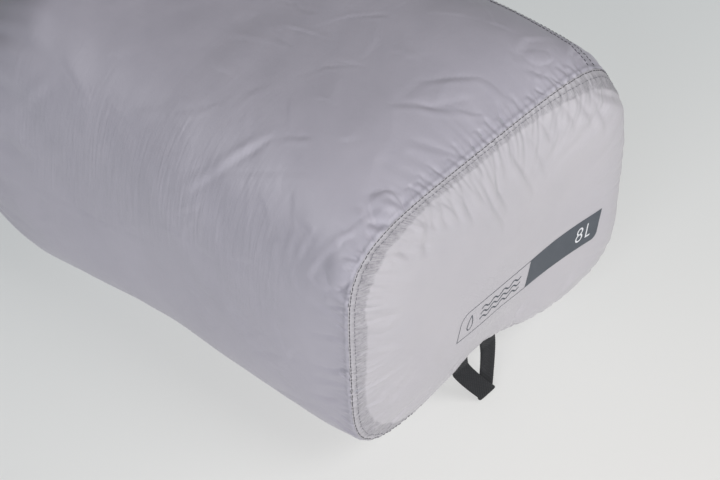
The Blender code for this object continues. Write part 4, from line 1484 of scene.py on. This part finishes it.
def seam_gathers(n):
    """Narrow streaks across the seam, slanted, where the stitches hold more cloth than they have room for:
    they set the gathers' bumps and the streaks of their painted shade.
    """
    along = n.add("ShaderNodeAttribute", attribute_name="round").outputs["Fac"]
    inward = n.add("ShaderNodeAttribute", attribute_name="inward").outputs["Fac"]
    joined = n.add("ShaderNodeCombineXYZ")
    slanted = n.math("ADD", n.math("MULTIPLY", along, 1250.0), n.math("MULTIPLY", inward, 520.0))
    n.link(slanted, joined.inputs[0])
    n.link(n.math("MULTIPLY", inward, 230.0), joined.inputs[1])
    return n.noise(joined.outputs[0], 1.0, 3.0, 0.6)


def tension_ripples(n):
    """Fine ripples that run round the sack, 2 to 4 mm apart along it."""
    along = n.add("ShaderNodeAttribute", attribute_name="round").outputs["Fac"]
    inward = n.add("ShaderNodeAttribute", attribute_name="inward").outputs["Fac"]
    mask = n.add("ShaderNodeAttribute", attribute_name="ripple").outputs["Fac"]
    joined = n.add("ShaderNodeCombineXYZ")
    n.link(n.math("MULTIPLY", inward, 420.0), joined.inputs[0])
    n.link(n.math("ADD", n.math("MULTIPLY", along, 42.0), n.math("MULTIPLY", inward, 18.0)), joined.inputs[1])
    return n.math("MULTIPLY", n.noise(joined.outputs[0], 1.0, 2.5, 0.5), mask)


def cloth_material(name, light, dark, painted_seam_shade_colour):
    """Thin coated nylon: a fine plain weave, cloudy where what is inside shows through, and darker along the
    seams in painted shade.
    """
    n = Nodes(name)
    coordinates = n.add("ShaderNodeTexCoord")
    where = coordinates.outputs["Object"]
    uv = coordinates.outputs["UV"]
    clouds = n.noise(where, 16.0, 3.0)
    mottle = n.noise(where, 75.0, 4.0, 0.6)
    grain = n.noise(uv, 2600.0, 2.0, 0.7)
    weave = woven(n, uv, 0.42 * MM)
    tone = n.math("ADD", n.math("MULTIPLY", n.spread(clouds, 0.34, 0.66, 0.0, 1.0), 0.62),
                  n.math("MULTIPLY", n.spread(mottle, 0.3, 0.7, 0.0, 1.0), 0.38))
    colour = n.blend(tone, dark, light)
    shade = n.spread(weave, -1.0, 1.0, 0.0, 0.055)
    colour = n.blend(shade, colour, (0.20, 0.19, 0.23))
    # painted shade: a darker band along the seams, streaked where the gathers fold, blended into the colour
    band = n.add("ShaderNodeAttribute", attribute_name="band")
    patchy = n.spread(n.noise(where, 620.0, 4.0, 0.7), 0.38, 0.62, 0.62, 1.20)
    gathers = seam_gathers(n)
    share = n.math("MULTIPLY", band.outputs["Fac"], patchy)
    share = n.math("MULTIPLY", share, n.spread(gathers, 0.38, 0.64, 0.42, 1.55), clamp=True)
    colour = n.blend(share, colour, painted_seam_shade_colour)
    rough = n.math("ADD", n.spread(mottle, 0.3, 0.7, 0.40, 0.50), n.math("MULTIPLY", grain, 0.05))
    height = n.math("ADD", n.math("MULTIPLY", weave, 0.5), n.math("MULTIPLY", grain, 0.8))
    crinkle = n.bump(n.noise(where, 420.0, 4.0, 0.62), 0.20, 0.35 * MM)
    ripples = n.math("MULTIPLY", tension_ripples(n), n.spread(clouds, 0.35, 0.6, 0.4, 1.0))
    crinkle = n.bump(ripples, 0.8, 0.5 * MM, crinkle)
    crinkle = n.bump(n.math("MULTIPLY", gathers, band.outputs["Fac"]), 0.9, 0.8 * MM, crinkle)
    normal = n.bump(height, 0.22, 0.06 * MM, crinkle)
    n.set(colour=colour, roughness=rough, normal=normal, sheen=0.22, sheen_roughness=0.4, specular=0.42)
    return n.material


def thread_material(name, colour):
    n = Nodes(name)
    where = n.add("ShaderNodeTexCoord").outputs["Object"]
    fuzz = n.noise(where, 900.0, 3.0, 0.7)
    twist = n.add("ShaderNodeTexWave", wave_type="BANDS", bands_direction="DIAGONAL")
    twist.inputs["Scale"].default_value = 520.0
    twist.inputs["Distortion"].default_value = 2.0
    n.link(where, twist.inputs["Vector"])
    darker = tuple(c * 0.55 for c in colour)
    tone = n.blend(n.spread(fuzz, 0.3, 0.7, 0.0, 1.0), darker, colour)
    normal = n.bump(n.math("ADD", twist.outputs["Fac"], fuzz), 0.6, 0.08 * MM)
    n.set(colour=tone, roughness=n.spread(fuzz, 0.3, 0.7, 0.5, 0.75), normal=normal, sheen=0.3, specular=0.3)
    return n.material


def webbing_material(name):
    """Black nylon webbing: yarn by yarn across its width, with a painted highlight on its yarns, dusty where
    it rubs.
    """
    n = Nodes(name)
    coordinates = n.add("ShaderNodeTexCoord")
    where, uv = coordinates.outputs["Object"], coordinates.outputs["UV"]
    weave = woven(n, uv, 0.78 * MM)
    yarn = n.noise(uv, 1500.0, 3.0, 0.65)
    wear = n.noise(where, 140.0, 4.0, 0.6)
    colour = n.blend(n.spread(weave, -0.8, 0.8, 0.0, 1.0), (0.005, 0.0055, 0.007), (0.014, 0.015, 0.018))
    # painted highlight: paler yarns where the noise is high
    colour = n.blend(n.spread(yarn, 0.45, 0.8, 0.0, 0.40), colour, (0.035, 0.037, 0.043))
    colour = n.blend(n.spread(wear, 0.5, 0.75, 0.0, 0.22), colour, (0.045, 0.046, 0.052))
    height = n.math("ADD", weave, n.math("MULTIPLY", yarn, 0.7))
    normal = n.bump(height, 0.7, 0.12 * MM)
    n.set(colour=colour, roughness=n.spread(yarn, 0.3, 0.7, 0.55, 0.78), normal=normal, sheen=0.12,
          sheen_roughness=0.45, specular=0.30)
    return n.material


def print_material(name, colour, rubbed):
    n = Nodes(name)
    where = n.add("ShaderNodeTexCoord").outputs["Object"]
    speck = n.noise(where, 900.0, 3.0, 0.7)
    cloud = n.noise(where, 120.0, 4.0, 0.6)
    tone = n.blend(n.spread(cloud, 0.35, 0.7, 0.0, 0.5), colour, rubbed)
    tone = n.blend(n.spread(speck, 0.58, 0.75, 0.0, 0.35), tone, rubbed)
    normal = n.bump(speck, 0.25, 0.05 * MM)
    n.set(colour=tone, roughness=n.spread(cloud, 0.3, 0.7, 0.42, 0.58), normal=normal, specular=0.35)
    return n.material


def plastic_material(name):
    """Moulded acetal: fine spark-eroded grain, paler where edges have rubbed."""
    n = Nodes(name)
    where = n.add("ShaderNodeTexCoord").outputs["Object"]
    grain = n.noise(where, 2400.0, 3.0, 0.7)
    smear = n.noise(where, 90.0, 4.0, 0.6)
    scuff = n.add("ShaderNodeTexNoise")
    scuff.inputs["Scale"].default_value = 300.0
    scuff.inputs["Detail"].default_value = 5.0
    n.link(where, scuff.inputs["Vector"])
    colour = n.blend(n.spread(smear, 0.35, 0.7, 0.0, 1.0), (0.014, 0.015, 0.017), (0.026, 0.027, 0.031))
    edge = n.add("ShaderNodeNewGeometry").outputs["Pointiness"]
    rubbed = n.spread(edge, 0.52, 0.60, 0.0, 1.0)
    worn = n.math("MULTIPLY", rubbed, n.spread(scuff.outputs["Fac"], 0.4, 0.65, 0.0, 0.6))
    colour = n.blend(worn, colour, (0.085, 0.087, 0.095))
    normal = n.bump(grain, 0.35, 0.05 * MM)
    n.set(colour=colour, roughness=n.spread(smear, 0.3, 0.7, 0.34, 0.50), normal=normal, specular=0.5)
    return n.material


def film_material(name, colour):
    """Seam tape and the stiff strip: smooth plastic film with a fine lengthwise streak."""
    n = Nodes(name)
    coordinates = n.add("ShaderNodeTexCoord")
    where = coordinates.outputs["Object"]
    streak = n.noise(where, 260.0, 4.0, 0.6)
    haze = n.noise(where, 40.0, 3.0)
    darker = tuple(c * 0.8 for c in colour)
    tone = n.blend(n.spread(haze, 0.35, 0.65, 0.0, 1.0), darker, colour)
    n.set(colour=tone, roughness=n.spread(streak, 0.3, 0.7, 0.28, 0.48),
          normal=n.bump(streak, 0.3, 0.06 * MM), specular=0.5)
    return n.material


def floor_material(name):
    n = Nodes(name)
    where = n.add("ShaderNodeTexCoord").outputs["Object"]
    paper = n.noise(where, 700.0, 4.0, 0.6)
    cloud = n.noise(where, 2.0, 2.0)
    tone = n.blend(n.spread(cloud, 0.3, 0.7, 0.0, 1.0), FLOOR_COLOUR, tuple(c * 0.985 for c in FLOOR_COLOUR))
    n.set(colour=tone, roughness=n.spread(paper, 0.3, 0.7, 0.8, 0.9), specular=0.1,
          normal=n.bump(paper, 0.1, 0.05 * MM))
    # painted light: the floor glows, brightest round FLOOR_BRIGHTEST and fading to a dimmer, bluer glow far
    # off; this painted pool of light also washes out the sack's contact shadow
    gap = n.add("ShaderNodeVectorMath", operation="DISTANCE")
    n.link(where, gap.inputs[0])
    gap.inputs[1].default_value = FLOOR_BRIGHTEST
    painted_glow_falloff = n.spread(gap.outputs["Value"], 0.05, 1.0, 0.0, 1.0)
    n.link(n.blend(painted_glow_falloff, FLOOR_GLOW, FLOOR_GLOW_FAR), n.shader.inputs["Emission Color"])
    n.shader.inputs["Emission Strength"].default_value = 0.605
    return n.material


# the floor's own colour, then the near and far colours and the middle of its painted glow
FLOOR_COLOUR = (0.28, 0.28, 0.277)
FLOOR_GLOW = (1.0, 0.975, 0.945)
FLOOR_GLOW_FAR = (0.40, 0.475, 0.51)
FLOOR_BRIGHTEST = (-0.12, -0.42, 0.0)


def finish_with(obj, material):
    obj.data.materials.clear()
    obj.data.materials.append(material)


# ---------------------------------------------------------------- studio


def studio():
    floor = bpy.data.meshes.new("floor")
    bm = bmesh.new()
    bmesh.ops.create_grid(bm, x_segments=24, y_segments=24, size=6.0)
    bm.to_mesh(floor)
    bm.free()
    ground = bpy.data.objects.new("floor", floor)
    bpy.context.scene.collection.objects.link(ground)
    floor.materials.append(floor_material("floor_paper_painted_glow"))

    world = bpy.data.worlds.new("studio")
    bpy.context.scene.world = world
    world.use_nodes = True
    background = world.node_tree.nodes["Background"]
    background.inputs[0].default_value = (0.93, 0.96, 1.0, 1.0)
    background.inputs[1].default_value = WORLD_LIGHT
    middle = Vector((0.0, 0.03, 0.08))
    for name, place, size, power, colour, everywhere in LIGHTS:
        light = bpy.data.lights.new(name, "AREA")
        light.shape = "DISK"
        light.size = size
        light.energy = power
        light.color = colour
        lamp = bpy.data.objects.new(name, light)
        bpy.context.scene.collection.objects.link(lamp)
        lamp.location = place
        lamp.visible_diffuse = everywhere
        lamp.rotation_euler = (middle - Vector(place)).to_track_quat("-Z", "Y").to_euler()


WORLD_LIGHT = 0.085
# name, place, size in metres, watts, colour, and whether it lights more than the cloth's gloss
LIGHTS = (
    ("left", (-1.85, -0.85, 1.0), 1.2, 22.5, (0.97, 0.975, 1.0), True),
    ("back_left", (-1.6, 0.75, 1.85), 1.2, 17.0, (0.98, 0.985, 1.0), False),
    ("front", (-0.1, -2.3, 0.8), 1.3, 12.0, (1.0, 0.99, 0.975), True),
    ("top_front", (0.35, -1.75, 1.7), 1.4, 31.0, (1.0, 0.995, 0.985), True),
)

CAMERA_AZIMUTH = math.radians(-46.453)
CAMERA_ELEVATION = math.radians(44.765)
CAMERA_ROLL = math.radians(-2.057)
CAMERA_LENS = 105.0
CAMERA_AIM = Vector((0.0, -0.145, 0.088))
CAMERA_RIGHT = -0.058894
CAMERA_UP = 0.006175
CAMERA_BACK = 0.99143


def photo_camera():
    az, el = CAMERA_AZIMUTH, CAMERA_ELEVATION
    back = Vector((math.sin(az) * math.cos(el), -math.cos(az) * math.cos(el), math.sin(el)))
    right = Vector((math.cos(az), math.sin(az), 0.0))
    up = back.cross(right)
    c, s = math.cos(CAMERA_ROLL), math.sin(CAMERA_ROLL)
    right, up = right * c + up * s, up * c - right * s
    place = CAMERA_AIM + right * CAMERA_RIGHT + up * CAMERA_UP + back * CAMERA_BACK
    data = bpy.data.cameras.new("photo_camera")
    data.lens = CAMERA_LENS
    data.sensor_width = 36.0
    camera = bpy.data.objects.new("photo_camera", data)
    bpy.context.scene.collection.objects.link(camera)
    camera.matrix_world = Matrix(
        ((right.x, up.x, back.x, place.x), (right.y, up.y, back.y, place.y), (right.z, up.z, back.z, place.z),
         (0, 0, 0, 1))
    )
    bpy.context.scene.camera = camera


# ---------------------------------------------------------------- the scene


def blend_roof(obj):
    """The slack cloth between the belly and the roll's end: bakes its place into its mesh."""
    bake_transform(obj)


def build():
    photo_camera()
    studio()
    surface = sack_surface()
    body, *roofs, panel = sack_pieces(surface)
    tapes = tape_pieces(surface)
    stitches, roof_stitches = stitch_pieces(surface)
    rolls, strips = mouth_pieces()
    loop = loop_piece()
    tree = BVHTree.FromPolygons(
        [tuple(v.co) for v in panel.data.vertices], [tuple(p.vertices) for p in panel.data.polygons]
    )
    ink, capacity = label_pieces(tree)

    # each cloth's last colour is the painted shade along its seams
    body_cloth = cloth_material(
        "body_cloth", (0.468, 0.448, 0.510), (0.418, 0.401, 0.462), (0.20, 0.20, 0.24)
    )
    panel_cloth = cloth_material(
        "panel_cloth", (0.480, 0.462, 0.490), (0.440, 0.425, 0.458), (0.190, 0.182, 0.205)
    )
    thread = thread_material("thread", (0.050, 0.050, 0.064))
    pale_thread = thread_material("pale_thread", (0.125, 0.125, 0.150))
    web = webbing_material("webbing")
    finish_with(body, body_cloth)
    finish_with(panel, panel_cloth)
    for roof, side, word in zip(roofs, (1, -1), ("right", "left")):
        finish_with(roof, body_cloth)
        blend_roof(roof)
    for obj in roof_stitches:
        finish_with(obj, thread)
        blend_roof(obj)
    for obj in rolls:
        finish_with(obj, body_cloth)
    film = film_material("seam_tape", (0.42, 0.42, 0.47))
    for obj in tapes:
        finish_with(obj, film)
    stiff = film_material("stiff_strip", (0.05, 0.052, 0.06))
    for obj in strips:
        finish_with(obj, stiff)
    for obj in stitches:
        finish_with(obj, pale_thread if obj.name == "bottom_stitches_inner" else thread)
    finish_with(loop, web)
    for side, word in ((-1, "left"), (1, "right")):
        tab, tack = tab_piece(side, word)
        finish_with(tab, web)
        finish_with(tack, thread_material(f"bartack_thread_{word}", (0.035, 0.036, 0.044)))
    finish_with(ink, print_material("print_dark", (0.062, 0.072, 0.088), (0.11, 0.12, 0.14)))
    finish_with(capacity, print_material("print_light", (0.72, 0.73, 0.76), (0.60, 0.61, 0.65)))
    plastic = plastic_material("moulded_plastic")
    for word in ("buckle_socket", "buckle_plug", "buckle_prong_upper", "buckle_prong_lower"):
        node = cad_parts[word]
        node.data.materials.clear()
        node.data.materials.append(plastic)


bpy.context.scene.view_settings.view_transform = "Standard"
build()
